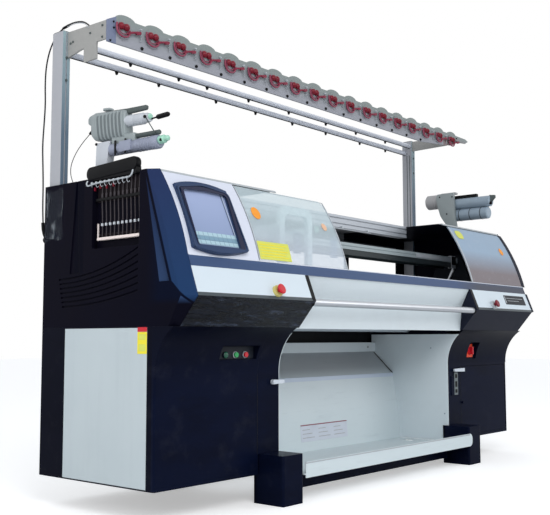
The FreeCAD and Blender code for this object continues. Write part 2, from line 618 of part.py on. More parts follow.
def end_wire(x, top_y, knee_off, bow):
    """Outline of the end panel at one depth; knee_off pulls the front edge back."""
    low_y, low_z = NOSE_Y + knee_off, NOSE_Z
    mid_y, mid_z = BELT_TOP_Y + knee_off, BELT_TOP_Z
    arc_mid = ((top_y + mid_y) / 2 - bow, (ROOF_Z + mid_z) / 2 + bow * 0.45)
    return section(x, (REAR_Y, SEAM_Z), [(REAR_Y, ROOF_Z), (top_y, ROOF_Z), (arc_mid, (mid_y, mid_z)),
                                         (low_y, low_z), (front_y(SEAM_Z) + knee_off / 2, SEAM_Z)])


def side_facet():
    """Wedge cut from the side face: flush along its rear edge, deepest along its front edge."""
    top = V(HALF, FACET_TOP_Y, FACET_TOP_Z)
    rear = V(HALF, FACET_REAR_Y, FACET_LOW_Z)
    front = V(HALF, FACET_FRONT_Y, FACET_LOW_Z)
    deep = front - V(FACET_DEEP, 0, 0)
    out = V(FACET_DEEP, 0, 0)
    corners = [top, rear, front, deep]
    loops = [(0, 1, 3), (1, 2, 3), (0, 3, 2), (0, 2, 1)]
    faces = [Part.Face(Part.makePolygon([corners[i] for i in loop] + [corners[loop[0]]])) for loop in loops]
    wedge = Part.makeSolid(Part.makeShell(faces))
    skin = Part.Face(Part.makePolygon([top, rear, front, top])).extrude(out)
    return wedge.fuse(skin)


def end_panel():
    inner = end_wire(END_IN, TOP_EDGE_Y - 15, 0, FASCIA_BOW)
    outer = end_wire(HALF, TOP_EDGE_Y - 15 + END_CHAMFER_TOP, END_CHAMFER_LOW, FASCIA_BOW * 0.7)
    panel = Part.makeLoft([inner, outer], True, True)
    x0 = HALF - GROOVE_DEEP
    panel = panel.cut(side_facet())
    wedge = Part.Face(Part.makePolygon([V(x0, 274, ROOF_Z + 1), V(x0, 284, ROOF_Z + 1), V(x0, 330, 1154),
                                        V(x0, 253, 1154), V(x0, 274, ROOF_Z + 1)])).extrude(V(GROOVE_DEEP + 1, 0, 0))
    panel = panel.cut(wedge)
    for i in range(GROOVE_N):
        k = i / (GROOVE_N - 1)
        ya, za = 416 - 29 * k, 1129 - 138 * k
        yb, zb = -188.0, 1256 - 200 * k
        r = ((ya - yb) ** 2 + (zb - za) ** 2) / (2 * (zb - za))
        sweep = math.asin((ya - yb) / r)
        edges = []
        ends = []
        for rr in (r - GROOVE_W / 2, r + GROOVE_W / 2):
            pts = [V(x0, ya - rr * math.sin(a), za + r - rr * math.cos(a)) for a in (0, sweep / 2, sweep)]
            edges.append(Part.Arc(*pts).toShape())
            ends.append(pts)
        edges.append(Part.makeLine(ends[0][0], ends[1][0]))
        edges.append(Part.makeLine(ends[0][2], ends[1][2]))
        wire = Part.Wire(Part.__sortEdges__(edges))
        panel = panel.cut(Part.Face(wire).extrude(V(GROOVE_DEEP + 1, 0, 0)))
    return panel


def post_notch():
    return box(POST_X, POST_X + POST_W, POST_Y, POST_Y + POST_D, SEAM_Z, ROOF_Z + 1)


end = end_panel().cut(post_notch())
pieces["right_side_panel"] = end
POCKET_X = HALF - POCKET_DEEP
tub = box(POCKET_X - POCKET_WALL, HALF - 6, POCKET_Y0 - POCKET_WALL, POCKET_Y1 + POCKET_WALL,
          POCKET_Z - POCKET_WALL, ROOF_Z)
hollow = box(POCKET_X, HALF + 1, POCKET_Y0, POCKET_Y1, POCKET_Z, ROOF_Z + 1)
hollow = round_edges(hollow, 14, lambda e: along(e, "x") and e.BoundBox.ZMax < POCKET_Z + 1)
pieces["left_side_panel"] = mirror(fuse(end, tub).cut(hollow))

WINDOW_Z0 = 1235.0
WINDOW_Z1 = 1560.0


def back_cover(s):
    top = box(CAB_INNER, END_IN, TOP_EDGE_Y, REAR_Y, ROOF_Z - ROOF_T, ROOF_Z)
    a = slant(1, 0)
    b = slant(1, -SKIN)
    nose = prism(CAB_INNER, END_IN, a, [((a[0] + 6, ROOF_Z - 2.6), (TOP_EDGE_Y, ROOF_Z)),
                                        (TOP_EDGE_Y, ROOF_Z - ROOF_T), b])
    rear = box(CAB_INNER, END_IN, REAR_Y - ROOF_T, REAR_Y, SEAM_Z, ROOF_Z)
    rear = rear.cut(box(CAB_INNER + 60, POST_X - 100, REAR_Y - 10, REAR_Y + 1, WINDOW_Z0, WINDOW_Z1))
    shape = fuse(top, nose, rear).cut(post_notch())
    if s < 0:
        shape = shape.cut(box(POCKET_X - POCKET_WALL, HALF, POCKET_Y0 - POCKET_WALL, POCKET_Y1 + POCKET_WALL,
                              POCKET_Z, ROOF_Z + 1))
    return side(shape, s)


pieces["left_back_cover"] = back_cover(-1)
pieces["right_back_cover"] = back_cover(1)
roof = box(-CAB_INNER, CAB_INNER, TOP_BEAM_T, REAR_Y, ROOF_Z - ROOF_T, ROOF_Z)
flange = box(-CAB_INNER, CAB_INNER, REAR_Y - ROOF_T, REAR_Y, WINDOW_Z1, ROOF_Z)
pieces["middle_roof"] = fuse(roof, flange)
beam = box(-CAB_INNER, CAB_INNER, 0, TOP_BEAM_T, TOP_BEAM_Z, ROOF_Z)
for gz in (TOP_BEAM_Z + 20, TOP_BEAM_Z + 55):
    beam = beam.cut(box(-CAB_INNER - 1, CAB_INNER + 1, -1, 8, gz, gz + 8))
pieces["top_beam"] = beam

FASCIA_X0 = -END_IN
FASCIA_X1 = COVER_LEFT_X0 - 3
BEZEL = [(72, 1539), (252, 1565), (422, 1543), (437, 1241), (230, 1215), (67, 1238)]
BEZEL_PROUD = 26.0
BEZEL_T = 30.0
SCREEN = [(102, 1531), (401, 1528), (380, 1248), (98, 1248)]
chord_y = FASCIA_TOP_Y - BELT_TOP_Y
chord_z = FASCIA_TOP_Z - BELT_TOP_Z
chord_l = math.hypot(chord_y, chord_z)
OUT = V(0, -chord_z / chord_l, chord_y / chord_l)


def on_chord(inset, z, off):
    """Point over the slanted front's chord: inset from the left end, height, distance outward."""
    t = (z - BELT_TOP_Z) / chord_z
    return V(-HALF + inset, BELT_TOP_Y + chord_y * t, z) + OUT * off


def bezel_wire(off, grow=0.0):
    tl, top, tr, br, low, bl = [on_chord(x, z, off) for x, z in BEZEL]
    edges = [Part.Arc(tl, top, tr).toShape(), Part.makeLine(tr, br), Part.Arc(br, low, bl).toShape(),
             Part.makeLine(bl, tl)]
    return Part.Wire(edges)


def chord_prism(wire, depth):
    return Part.Face(wire).extrude(OUT * -depth)


bezel_body = chord_prism(bezel_wire(BEZEL_PROUD), BEZEL_T)
SCREEN_IN = 8.0
screen_wire = Part.makePolygon([on_chord(x, z, BEZEL_PROUD + 1) for x, z in SCREEN + SCREEN[:1]])
pieces["left_fascia"] = slant_sheet(FASCIA_X0, FASCIA_X1, 0, -SKIN, 1).cut(chord_prism(bezel_wire(60), 120))
pieces["screen_bezel"] = bezel_body.cut(chord_prism(screen_wire, BEZEL_T + 2))
glass_wire = Part.makePolygon([on_chord(x, z, BEZEL_PROUD - SCREEN_IN) for x, z in SCREEN + SCREEN[:1]])
pieces["screen"] = chord_prism(glass_wire, 12)


def clear_cover(x0, length):
    sheet = slant_sheet(x0, x0 + length, -SLIDE_CLEAR, -SLIDE_CLEAR - COVER_T, 0.985)
    lip = box(x0, x0 + length, GROOVE_Y0 + SLIDE_CLEAR, GROOVE_Y1 - SLIDE_CLEAR, BELT_TOP_Z - 10, BELT_TOP_Z + 6)
    sheet = fuse(sheet, lip)
    corner = 55.0
    x1 = x0 + length
    block = box(x1 - corner, x1 + 1, FASCIA_TOP_Y - 200, FASCIA_TOP_Y + 100, FASCIA_TOP_Z - corner, FASCIA_TOP_Z + 20)
    disc = cyl(x1 - corner, FASCIA_TOP_Y - 201, FASCIA_TOP_Z - corner, corner, 302, (0, 1, 0))
    return sheet.cut(block.cut(disc))


pieces["left_clear_cover"] = clear_cover(COVER_LEFT_X0, COVER_LEFT_L)
pieces["right_clear_cover"] = clear_cover(COVER_RIGHT_X0, COVER_RIGHT_L)


def strip(s):
    return side(polygon(CHEEK_X + CHEEK_T, END_IN, [strip_point(0), strip_point(1), strip_point(1, -SKIN),
                                                    strip_point(0, -SKIN)]), s)


STOP_BASE_H = 14.0
STOP_NECK = 15.5
SDIR = V(0, *[a - b for a, b in zip(strip_point(0, 1), strip_point(0, 0))])


def on_strip(x, z, off=0.0):
    t = (z - BELT_LOW_Z) / (NOSE_Z - BELT_LOW_Z)
    y, zz = strip_point(t, off)
    return V(x, y, zz)


def stop_base(x, z, r):
    return Part.makeCylinder(r, STOP_BASE_H, on_strip(x, z, -0.5), SDIR)


def stop_button(x, z, r):
    neck = STOP_BASE_H + STOP_NECK
    stem = Part.makeCylinder(r * 0.4, neck + 3, on_strip(x, z, -2), SDIR)
    head = Part.makeCone(r * 0.92, r, 4, on_strip(x, z, neck), SDIR)
    cap = Part.makeCylinder(r, 4, on_strip(x, z, neck + 4), SDIR)
    crown = Part.makeCone(r, r * 0.72, 4, on_strip(x, z, neck + 8), SDIR)
    return fuse(stem, head, cap, crown)


def bored(panel, x, z, r):
    panel = panel.fuse(stop_base(x, z, r * 1.1))
    return panel.cut(Part.makeCylinder(r * 0.4 + RUN_CLEAR, STOP_BASE_H + 12, on_strip(x, z, -8), SDIR))


LSTOP = (-HALF + 590.0, 1060.0, 26.0)
RSTOP = (HALF - 629.0, 1057.0, 26.0)
pieces["left_control_strip"] = bored(strip(-1), *LSTOP)
pieces["right_control_strip"] = bored(strip(1), *RSTOP)
pieces["left_stop_button"] = stop_button(*LSTOP)
pieces["right_stop_button"] = stop_button(*RSTOP)


def underside(s):
    seam = (front_y(SEAM_Z), SEAM_Z)
    low = math.hypot(seam[0] - NOSE_Y, seam[1] - NOSE_Z)
    ny = -(seam[1] - NOSE_Z) / low * SKIN
    nz = (seam[0] - NOSE_Y) / low * SKIN
    tip = strip_point(1, -SKIN)
    sheet = polygon(CHEEK_X + CHEEK_T, END_IN, [(NOSE_Y, NOSE_Z), seam, (seam[0] + ny, seam[1] + nz),
                                                (tip[0] + 1, tip[1] + 1), tip])
    cheek = polygon(CHEEK_X, CHEEK_X + CHEEK_T, [(BELT_LOW_Y, BELT_LOW_Z), (NOSE_Y, NOSE_Z), seam, (-400, SEAM_Z),
                                                 (-400, BELT_LOW_Z)])
    cheek = cheek.cut(cyl(CHEEK_X - 1, ROD_Y, ROD_Z, ROD_PIN_R + RUN_CLEAR, 15, (1, 0, 0)))
    return side(fuse(sheet, cheek), s)


pieces["left_underside"] = underside(-1)
pieces["right_underside"] = underside(1)

# ---------------------------------------------------------------- yarn stand
post = box(POST_X, POST_X + POST_W, POST_Y, POST_Y + POST_D, SEAM_Z, POST_TOP_Z)
for gy in (POST_Y, POST_Y + POST_D - 5):
    post = post.cut(box(POST_X + POST_W / 2 - 4, POST_X + POST_W / 2 + 4, gy - 1 if gy == POST_Y else gy,
                        gy + 5 if gy == POST_Y else gy + 6, SEAM_Z - 1, POST_TOP_Z + 1))
pieces["right_post"] = post
pieces["left_post"] = mirror(post)
ARM_Z = POST_TOP_Z - 107.0    # underside of the arms' front part
ARM_HEEL = 35.0
ARM_LOW = [(POST_Y, ARM_Z - ARM_HEEL), (244.0, ARM_Z), (ARM_FRONT_Y, ARM_Z)]
TAB_Y0 = 201.0
TAB_Y1 = 303.0
TAB_DROP = 87.0
arm = polygon(ARM_X - ARM_T, ARM_X, [(POST_Y, POST_TOP_Z - 4), ARM_LOW[0], ARM_LOW[1], ARM_LOW[2],
                                     (ARM_FRONT_Y, POST_TOP_Z - 10)])
tab = box(ARM_X - ARM_T, ARM_X, TAB_Y0, TAB_Y1, ARM_Z - TAB_DROP, ARM_Z + 5)
pieces["left_arm"] = mirror(fuse(arm, tab))
RIGHT_ARM_Z = POST_TOP_Z - 84.0
pieces["right_arm"] = polygon(ARM_X - ARM_T, ARM_X, [(POST_Y, POST_TOP_Z - 4), (POST_Y, RIGHT_ARM_Z),
                                                     (ARM_FRONT_Y, RIGHT_ARM_Z + 4), (ARM_FRONT_Y, POST_TOP_Z - 10)])


def octagon(x, y0, z, radius, depth):
    ring = []
    for k in range(8):
        a = math.pi * (k + 0.5) / 4
        ring.append((x + radius * math.cos(a), z + radius * math.sin(a)))
    return plate_xz(y0 - depth, y0, ring)


def tension_beam():
    valley = BEAM_LOW_Z + BEAM_H
    y0 = ARM_FRONT_Y - BEAM_T
    here = V(-ARM_X, y0, BEAM_LOW_Z)
    last = V(-ARM_X, y0, valley - BEAM_SHOULDER)
    edges = [Part.makeLine(here, last)]
    units = [HUMP_X + i * HUMP_PITCH for i in range(HUMP_N)]
    for cx in units:
        a = V(cx - HUMP_HALF, y0, valley)
        m = V(cx, y0, valley + HUMP_H)
        b = V(cx + HUMP_HALF, y0, valley)
        edges.append(Part.makeLine(last, a))
        edges.append(Part.Arc(a, m, b).toShape())
        last = b
    tip = [V(HALF + out, y0, BEAM_LOW_Z + up) for out, up in BEAM_TIP] + [here]
    for p in tip:
        edges.append(Part.makeLine(last, p))
        last = p
    body = Part.Face(Part.Wire(edges)).extrude(V(0, BEAM_T, 0))
    knob_z = valley - KNOB_DROP
    for cx in units:
        body = body.fuse(octagon(cx, y0, knob_z, KNOB_R, KNOB_OUT))
        body = body.fuse(box(cx + 10, cx + YARN_ARM, y0 - 14, y0, knob_z - 28, knob_z - 18))
    return body


pieces["tension_beam"] = tension_beam()


def yarn_tube(y, z, eyes):
    """Round rail with a flat underside that carries the yarn eyelets."""
    flat = math.sqrt(TUBE_R ** 2 - EYE_SEAT ** 2)
    arc = Part.Arc(V(-TUBE_END, y - EYE_SEAT, z - flat), V(-TUBE_END, y, z + TUBE_R),
                   V(-TUBE_END, y + EYE_SEAT, z - flat)).toShape()
    chord = Part.makeLine(V(-TUBE_END, y + EYE_SEAT, z - flat), V(-TUBE_END, y - EYE_SEAT, z - flat))
    tube = Part.Face(Part.Wire([arc, chord])).extrude(V(2 * TUBE_END, 0, 0))
    seat = z - flat
    for along_tube in eyes:
        x = -TUBE_END + along_tube
        hook = [(x - EYE_SEAT, seat), (x + EYE_SEAT, seat), (x + 3, seat - EYE_L), (x - 3, seat - EYE_L)]
        tube = tube.fuse(plate_xz(y - EYE_T / 2, y + EYE_T / 2, hook))
    return tube


TUBE_END = POST_X
pieces["front_yarn_tube"] = yarn_tube(TUBE_FRONT_Y, TUBE_FRONT_Z, [431, 806, 1046, 1429, 1841, 2263, 2639, 3040])
pieces["rear_yarn_tube"] = yarn_tube(TUBE_REAR_Y, TUBE_REAR_Z, [370, 688, 1173, 1549, 1936, 2322, 2755, 3110])

# ---------------------------------------------------------------- yarn tensioner at the left end
TEN_X = -HALF - 6
rail_bar = box(TEN_X, -POCKET_X, POCKET_Y0 + 8, 205, ROOF_Z - 12, ROOF_Z + 54)
rail_bar = round_edges(rail_bar, 18, lambda e: along(e, "x"))
rail_bar = rail_bar.cut(box(TEN_X - 1, -POCKET_X + 1, POCKET_Y1, 260, ROOF_Z - 20, ROOF_Z))
face_x = -POCKET_X
comb = box(face_x - 6, face_x, POCKET_Y0 + 10, POCKET_Y1 - 10, ROOF_Z - 120, ROOF_Z - 4)
tray_z = POCKET_Z + 39
tray_bar = box(face_x - 28, face_x, POCKET_Y0, POCKET_Y1 - 34, tray_z, tray_z + 16)
TENSION_ARMS = 10
arm_pitch = (POCKET_Y1 - POCKET_Y0 - 76) / (TENSION_ARMS - 1)
tens = fuse(rail_bar, comb, tray_bar)
for i in range(TENSION_ARMS):
    ay = POCKET_Y0 + 23 + i * arm_pitch
    arm_wire = box(face_x - 14, face_x - 8, ay - 3, ay + 3, tray_z + 8, ROOF_Z - 20)
    tens = tens.fuse(arm_wire).fuse(box(face_x - 14, face_x, ay - 3, ay + 3, ROOF_Z - 30, ROOF_Z - 20))
hook = box(TEN_X - 3, TEN_X + 5, -144, 205, ROOF_Z - 18, ROOF_Z - 8)
pieces["left_side_tensioner"] = tens.fuse(hook).removeSplitter()

# ---------------------------------------------------------------- yarn feeders on the roof
FEED_X = HALF - 58.0


def y_loft(stations):
    """Eased body along Y on the left end; stations are (y, half width, low and high over the roof)."""
    wires = []
    for y, hw, low, high in stations:
        z0 = ROOF_Z + low
        z1 = ROOF_Z + high
        r = min(hw, (z1 - z0) / 2) * 0.45
        pts = [(-FEED_X - hw, z0), (-FEED_X + hw, z0), (-FEED_X + hw, z1), (-FEED_X - hw, z1)]
        ring = []
        for k in range(4):
            px, pz = pts[k]
            nx, nz = pts[(k + 1) % 4]
            dx, dz = (nx - px), (nz - pz)
            ln = math.hypot(dx, dz)
            ring.append((px + dx / ln * r, pz + dz / ln * r))
            ring.append((nx - dx / ln * r, nz - dz / ln * r))
        ring.append(ring[0])
        wires.append(Part.makePolygon([V(a, y, b) for a, b in ring]))
    return Part.makeLoft(wires, True, True)


def left_feeder():
    core = y_loft([(-32, 46, 180, 340), (40, 56, 170, 355), (215, 56, 180, 350), (264, 40, 230, 340)])
    for i in range(8):
        ry = -14 + i * 29
        core = core.fuse(y_loft([(ry, 60, 186, 342), (ry + 9, 60, 186, 342)]))
    horn = y_loft([(-171, 14, 310, 332), (-32, 20, 305, 345)])
    upper = cyl(-FEED_X, -30, ROOF_Z + 270, 34, 110, (0, -1, 0))
    hub = cyl(-FEED_X, -140, ROOF_Z + 270, 14, 26, (0, -1, 0))
    neck = y_loft([(-60, 30, 170, 280), (60, 40, 120, 220)])
    lower = cyl(-FEED_X, 75, ROOF_Z + 122, 57, 345, (0, -1, 0))
    tip = cyl(-FEED_X, -270, ROOF_Z + 135, 20, 60, (0, -1, 0))
    foot = box(-FEED_X + 28, -FEED_X + 68, 120, 195, ROOF_Z, ROOF_Z + 192)
    shelf = box(-FEED_X - 30, -FEED_X + 68, 90, 195, ROOF_Z + 160, ROOF_Z + 192)
    handle = fuse(cyl(-FEED_X + 46, 0, ROOF_Z + 266, 7, 250, (0, -1, 0)), cyl(-FEED_X + 46, -225, ROOF_Z + 266, 15, 90, (0, -1, 0)))
    return fuse(core, horn, upper, hub, neck, lower, tip, foot, shelf, handle)


pieces["left_feeder_body"] = left_feeder()


def right_feeder():
    body = mirror(y_loft([(-263, 18, 305, 330), (-235, 44, 225, 340), (-60, 52, 212, 355), (203, 50, 230, 355)]))
    lower = mirror(y_loft([(-240, 34, 165, 230), (100, 40, 158, 230)]))
    motor = cyl(FEED_X, 203, ROOF_Z + 297, 60, 138, (0, 1, 0))
    x0, x1 = FEED_X - 70, FEED_X - 48
    profile = [(208, 365), (208, 280), (191, 88), (191, 0), (60, 0), (60, 88), (100, 230), (100, 375)]
    bracket = polygon(x0, x1, [(y, ROOF_Z + up) for y, up in profile])
    ribs = [mirror(y_loft([(-225, 47, z, z + 22), (150, 55, z, z + 22)])) for z in (248, 300)]
    strip_top = box(FEED_X - 18, FEED_X + 18, -138, 96, ROOF_Z + 350, ROOF_Z + 364)
    return fuse(body, lower, motor, bracket, strip_top, *ribs)


pieces["right_feeder_body"] = right_feeder()


# ---------------------------------------------------------------- cables
CORD_SIDES = 6


def cable(name, points, dia):
    """Six-sided tube of the round cable's section area along straight runs joined by tangent arcs."""
    pts = [V(*p) for p in points]
    runs = [(b - a).Length for a, b in zip(pts, pts[1:])]
    edges = []
    here = pts[0]
    radii = []
    for i in range(1, len(pts) - 1):
        u = (pts[i] - pts[i - 1]).normalize()
        w = (pts[i + 1] - pts[i]).normalize()
        turn = math.acos(max(-1, min(1, u.dot(w))))
        cut = 0.45 * min(runs[i - 1], runs[i])
        r = cut / math.tan(turn / 2)
        radii.append(r / dia)
        a = pts[i] - u * cut
        b = pts[i] + w * cut
        inward = (w - u).normalize()
        centre = pts[i] + inward * (r / math.cos(turn / 2))
        mid = centre - inward * r
        edges.append(Part.LineSegment(here, a).toShape())
        edges.append(Part.Arc(a, mid, b).toShape())
        here = b
    edges.append(Part.LineSegment(here, pts[-1]).toShape())
    path = Part.Wire(edges)
    ahead = (pts[1] - pts[0]).normalize()
    across = ahead.cross(V(0, 0, 1)).normalize()
    over = across.cross(ahead)
    r_ring = dia / 2 * math.sqrt(math.pi / (CORD_SIDES / 2 * math.sin(2 * math.pi / CORD_SIDES)))
    ring = []
    for k in range(CORD_SIDES + 1):
        a = 2 * math.pi * (k % CORD_SIDES + 0.5) / CORD_SIDES
        ring.append(pts[0] + across * (r_ring * math.cos(a)) + over * (r_ring * math.sin(a)))
    tube = path.makePipeShell([Part.makePolygon(ring)], True, False)
    want = math.pi * dia * dia / 4 * path.Length
    print(name, "length", round(path.Length), "volume ratio", round(tube.Volume / want, 4),
          "least radius in diameters", round(min(radii), 1), "runs", [round(r) for r in runs])
    cords.append(name)
    pieces[name] = tube


cable("post_cable", [(-1712, 262, 2432), (-1712, 300, 2464), (-1711, 365, 2481), (-1710, 432, 2484),
                     (-1709, 496, 2474), (-1708, 552, 2447), (-1711, 592, 2399), (-1718, 610, 2340),
                     (-1727, 614, 2268), (-1733, 609, 2180), (-1731, 605, 2075), (-1734, 609, 1965),
                     (-1738, 613, 1855), (-1736, 608, 1745), (-1733, 606, 1640), (-1731, 609, 1535),
                     (-1730, 606, 1460), (-1731, 598, 1402), (-1732, 580, 1366), (-1732, 549, 1346)], 8.0)
cable("feeder_cable", [(-1700, 262, 1868), (-1700, 300, 1846), (-1701, 345, 1812), (-1702, 384, 1772),
                       (-1703, 409, 1728), (-1703, 413, 1688), (-1702, 402, 1652), (-1701, 384, 1620)], 4.0)

# ---------------------------------------------------------------- export about the base centre
hull = FreeCAD.BoundBox()
for name, shape in pieces.items():
    if name not in cords:
        hull.add(shape.BoundBox)
shift = V(-(hull.XMin + hull.XMax) / 2, -(hull.YMin + hull.YMax) / 2, -hull.ZMin)
os.makedirs("parts", exist_ok=True)
for name, shape in pieces.items():
    moved = shape.copy()
    moved.translate(shift)
    moved.exportStep("parts/%s.step" % name)
print("pieces", len(pieces), "shift", shift, "size", hull.XLength, hull.YLength, hull.ZLength)
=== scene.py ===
import math
from contextlib import contextmanager

import bmesh
import bpy
from mathutils import Matrix, Vector


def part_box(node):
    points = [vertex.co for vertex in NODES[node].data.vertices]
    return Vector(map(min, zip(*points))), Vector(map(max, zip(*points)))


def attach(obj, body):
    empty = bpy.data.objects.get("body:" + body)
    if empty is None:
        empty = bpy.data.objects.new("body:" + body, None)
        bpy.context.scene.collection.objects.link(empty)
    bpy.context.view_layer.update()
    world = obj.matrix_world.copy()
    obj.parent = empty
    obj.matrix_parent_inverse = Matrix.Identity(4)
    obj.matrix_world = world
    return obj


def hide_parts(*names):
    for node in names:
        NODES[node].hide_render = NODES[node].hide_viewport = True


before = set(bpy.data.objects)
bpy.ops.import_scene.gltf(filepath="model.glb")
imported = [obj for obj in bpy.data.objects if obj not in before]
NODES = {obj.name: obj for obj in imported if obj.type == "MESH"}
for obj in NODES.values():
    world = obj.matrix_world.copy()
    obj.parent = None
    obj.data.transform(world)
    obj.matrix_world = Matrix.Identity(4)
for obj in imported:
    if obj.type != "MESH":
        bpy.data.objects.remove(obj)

bl_info = {
    "name": "Flat knitting machine dresser",
    "version": (1, 0, 0),
    "blender": (4, 5, 0),
    "location": "View3D > Sidebar > Knitting",
    "description": "Finishes, fittings and studio for a flat knitting machine",
    "category": "Object",
}

BED_LO, BED_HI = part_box("bed_frame")
MID_X = (BED_LO.x + BED_HI.x) / 2
MID_Y = (BED_LO.y + BED_HI.y) / 2

# the machine in millimetres: X from the middle of the beds, Y from between them, Z from the floor
ROOF = 1620.0
POSTS = 1700.0
END_FACE = 1758.0
INNER_FACE = 886.0
CABINET_FRONT = -300.0
# Y and Z of the slanted front's two ends, how far it swells, and the control strip's two ends
BELT_TOP, FASCIA_TOP, BOW = (-481.0, 1208.0), (-295.0, 1608.0), 20.0
BELT_LOW, NOSE = (-496.0, 1157.0), (-548.0, 1022.0)
# the clear covers' lowest and highest Z, and the place and thickness of their edge strips, which are trim except on the
# right cover's left edge, where the strip is a painted highlight
COVER_LOW, COVER_HIGH, EDGE_OFF, EDGE_THICK = 1212, 1598, -1.4, 4.6
# the tension beam's Y, its lowest Z and its Z between humps
BEAM_FACE, BEAM_LOW, BEAM_TOP = 113.0, 2320.0, 2462.0
COMB_FACE = -1726.0
FORWARD, REARWARD, LEFTWARD, UPWARD = (0, -1, 0), (0, 1, 0), (-1, 0, 0), (0, 0, 1)
# angle under which an edge is shaded smooth, and the reach of a weld
SMOOTH, WELD = 0.6, 1e-7


def at(x, y, z):
    """Machine millimetres as a point of the scene."""
    return Vector((MID_X + x / 1000, MID_Y + y / 1000, z / 1000))


def mm(x, y, z):
    """Millimetres from a small piece's own zero."""
    return Vector((x, y, z)) / 1000


def turns(count):
    """Angles that divide a full turn."""
    return [2 * math.pi * k / count for k in range(count)]


def shares(steps):
    """Equal steps from 0 to 1."""
    return [k / steps for k in range(steps + 1)]


def linear(r, g, b):
    """A screen colour of 0 to 255 as Blender's linear colour."""
    out = []
    for c in (r, g, b):
        c = c / 255
        out.append(c / 12.92 if c <= 0.04045 else ((c + 0.055) / 1.055) ** 2.4)
    return (*out, 1.0)


# ------------------------------------------------------------------ shader maths
class Flow:
    """A socket that can be used in plain arithmetic."""

    def __init__(self, tree, socket):
        self.tree = tree
        self.socket = socket

    def __add__(self, other):
        return self.tree.math("ADD", self, other)

    def __radd__(self, other):
        return self.tree.math("ADD", other, self)

    def __sub__(self, other):
        return self.tree.math("SUBTRACT", self, other)

    def __rsub__(self, other):
        return self.tree.math("SUBTRACT", other, self)

    def __mul__(self, other):
        return self.tree.math("MULTIPLY", self, other)

    def __rmul__(self, other):
        return self.tree.math("MULTIPLY", other, self)

    def __truediv__(self, other):
        return self.tree.math("DIVIDE", self, other)

    def above(self, level):
        return self.tree.math("GREATER_THAN", self, level)

    def below(self, level):
        return self.tree.math("LESS_THAN", self, level)

    def between(self, low, high):
        return self.above(low) * self.below(high)


class Tree:
    """A node tree under construction."""

    def __init__(self, tree):
        self.tree = tree

    def feed(self, socket, value):
        value = value.socket if isinstance(value, Flow) else value
        if isinstance(value, bpy.types.NodeSocket):
            self.tree.links.new(value, socket)
        else:
            socket.default_value = value

    def node(self, kind, settings=None, **inputs):
        """A node of a type: its settings first, then the values or links of its sockets."""
        made = self.tree.nodes.new(kind)
        for key, value in (settings or {}).items():
            setattr(made, key, value)
        for key, value in inputs.items():
            self.feed(made.inputs[key.replace("_", " ")], value)
        return made

    def math(self, kind, *values):
        made = self.node("ShaderNodeMath", {"operation": kind})
        for socket, value in zip(made.inputs, values):
            self.feed(socket, value)
        return Flow(self, made.outputs[0])


class Paint(Tree):
    """A material under construction: a Principled surface and the nodes that feed it."""

    def __init__(self, name, **fixed):
        self.material = bpy.data.materials.new(name)
        self.material.use_nodes = True
        super().__init__(self.material.node_tree)
        self.surface = next(n for n in self.tree.nodes if n.type == "BSDF_PRINCIPLED")
        self.set(**fixed)

    def place(self):
        """X, Y and Z of the point in machine millimetres."""
        coord = self.node("ShaderNodeTexCoord")
        split = self.node("ShaderNodeSeparateXYZ", Vector=coord.outputs["Object"])
        x, y, z = (Flow(self, s) for s in split.outputs)
        return (x - MID_X) * 1000, (y - MID_Y) * 1000, z * 1000

    def noise(self, scale, detail=4.0, rough=0.55, stretch=(1, 1, 1)):
        """Noise on Object coordinates; an uneven stretch makes streaks and brushed grain."""
        coord = self.node("ShaderNodeTexCoord")
        spread = self.node("ShaderNodeMapping", Vector=coord.outputs["Object"], Scale=stretch)
        made = self.node("ShaderNodeTexNoise", Vector=spread.outputs["Vector"], Scale=scale, Detail=detail,
                         Roughness=rough)
        return Flow(self, made.outputs["Fac"])

    def ramp(self, value, low, high):
        made = self.node("ShaderNodeMapRange", {"clamp": True}, Value=value, From_Min=low, From_Max=high)
        return Flow(self, made.outputs["Result"])

    def mix(self, factor, first, second):
        """Two colours mixed; a colour is a Flow, a linear colour or three screen values."""
        made = self.node("ShaderNodeMix", {"data_type": "RGBA"})
        for index, value in ((0, factor), (6, first), (7, second)):
            screen = isinstance(value, tuple) and len(value) == 3
            self.feed(made.inputs[index], linear(*value) if screen else value)
        return Flow(self, made.outputs[2])

    def over(self, base, *coats):
        """Lay colours over a base, each through its mask."""
        for mask, colour in coats:
            base = self.mix(mask, base, colour)
        return base

    def bump(self, height, distance, strength=1.0, rounded=0.0):
        made = self.node("ShaderNodeBump", Height=height, Distance=distance, Strength=strength)
        if rounded:
            edge = self.node("ShaderNodeBevel", {"samples": 4}, Radius=rounded)
            self.feed(made.inputs["Normal"], edge.outputs["Normal"])
        return Flow(self, made.outputs["Normal"])

    def set(self, **links):
        for socket, value in links.items():
            self.feed(self.surface.inputs[socket.replace("_", " ")], value)
        return self.material

    def coat(self, base, rough, height, distance, rounded):
        """The whole surface: colour, roughness, and a fine relief over rounded edges."""
        return self.set(Base_Color=base, Roughness=rough, Normal=self.bump(height, distance, 1.0, rounded))


def sheet_paint(name, colour, rough, worn, dirt, shine, edge=0.0015):
    """Sprayed sheet metal: faint orange peel, soft cloudiness, a little dust, and rounded edges."""
    p = Paint(name, Specular_IOR_Level=shine)
    cloud = p.noise(2.2, 5)
    dust = p.ramp(p.noise(9, 8, 0.65), 0.52, 0.78)
    base = p.over(p.mix(cloud * 0.6, colour, worn), (dust * dirt, (150, 150, 148)))
    return p.coat(base, rough + 0.10 * (cloud - 0.5) + 0.12 * dust, p.noise(420, 2), 0.00012, edge)


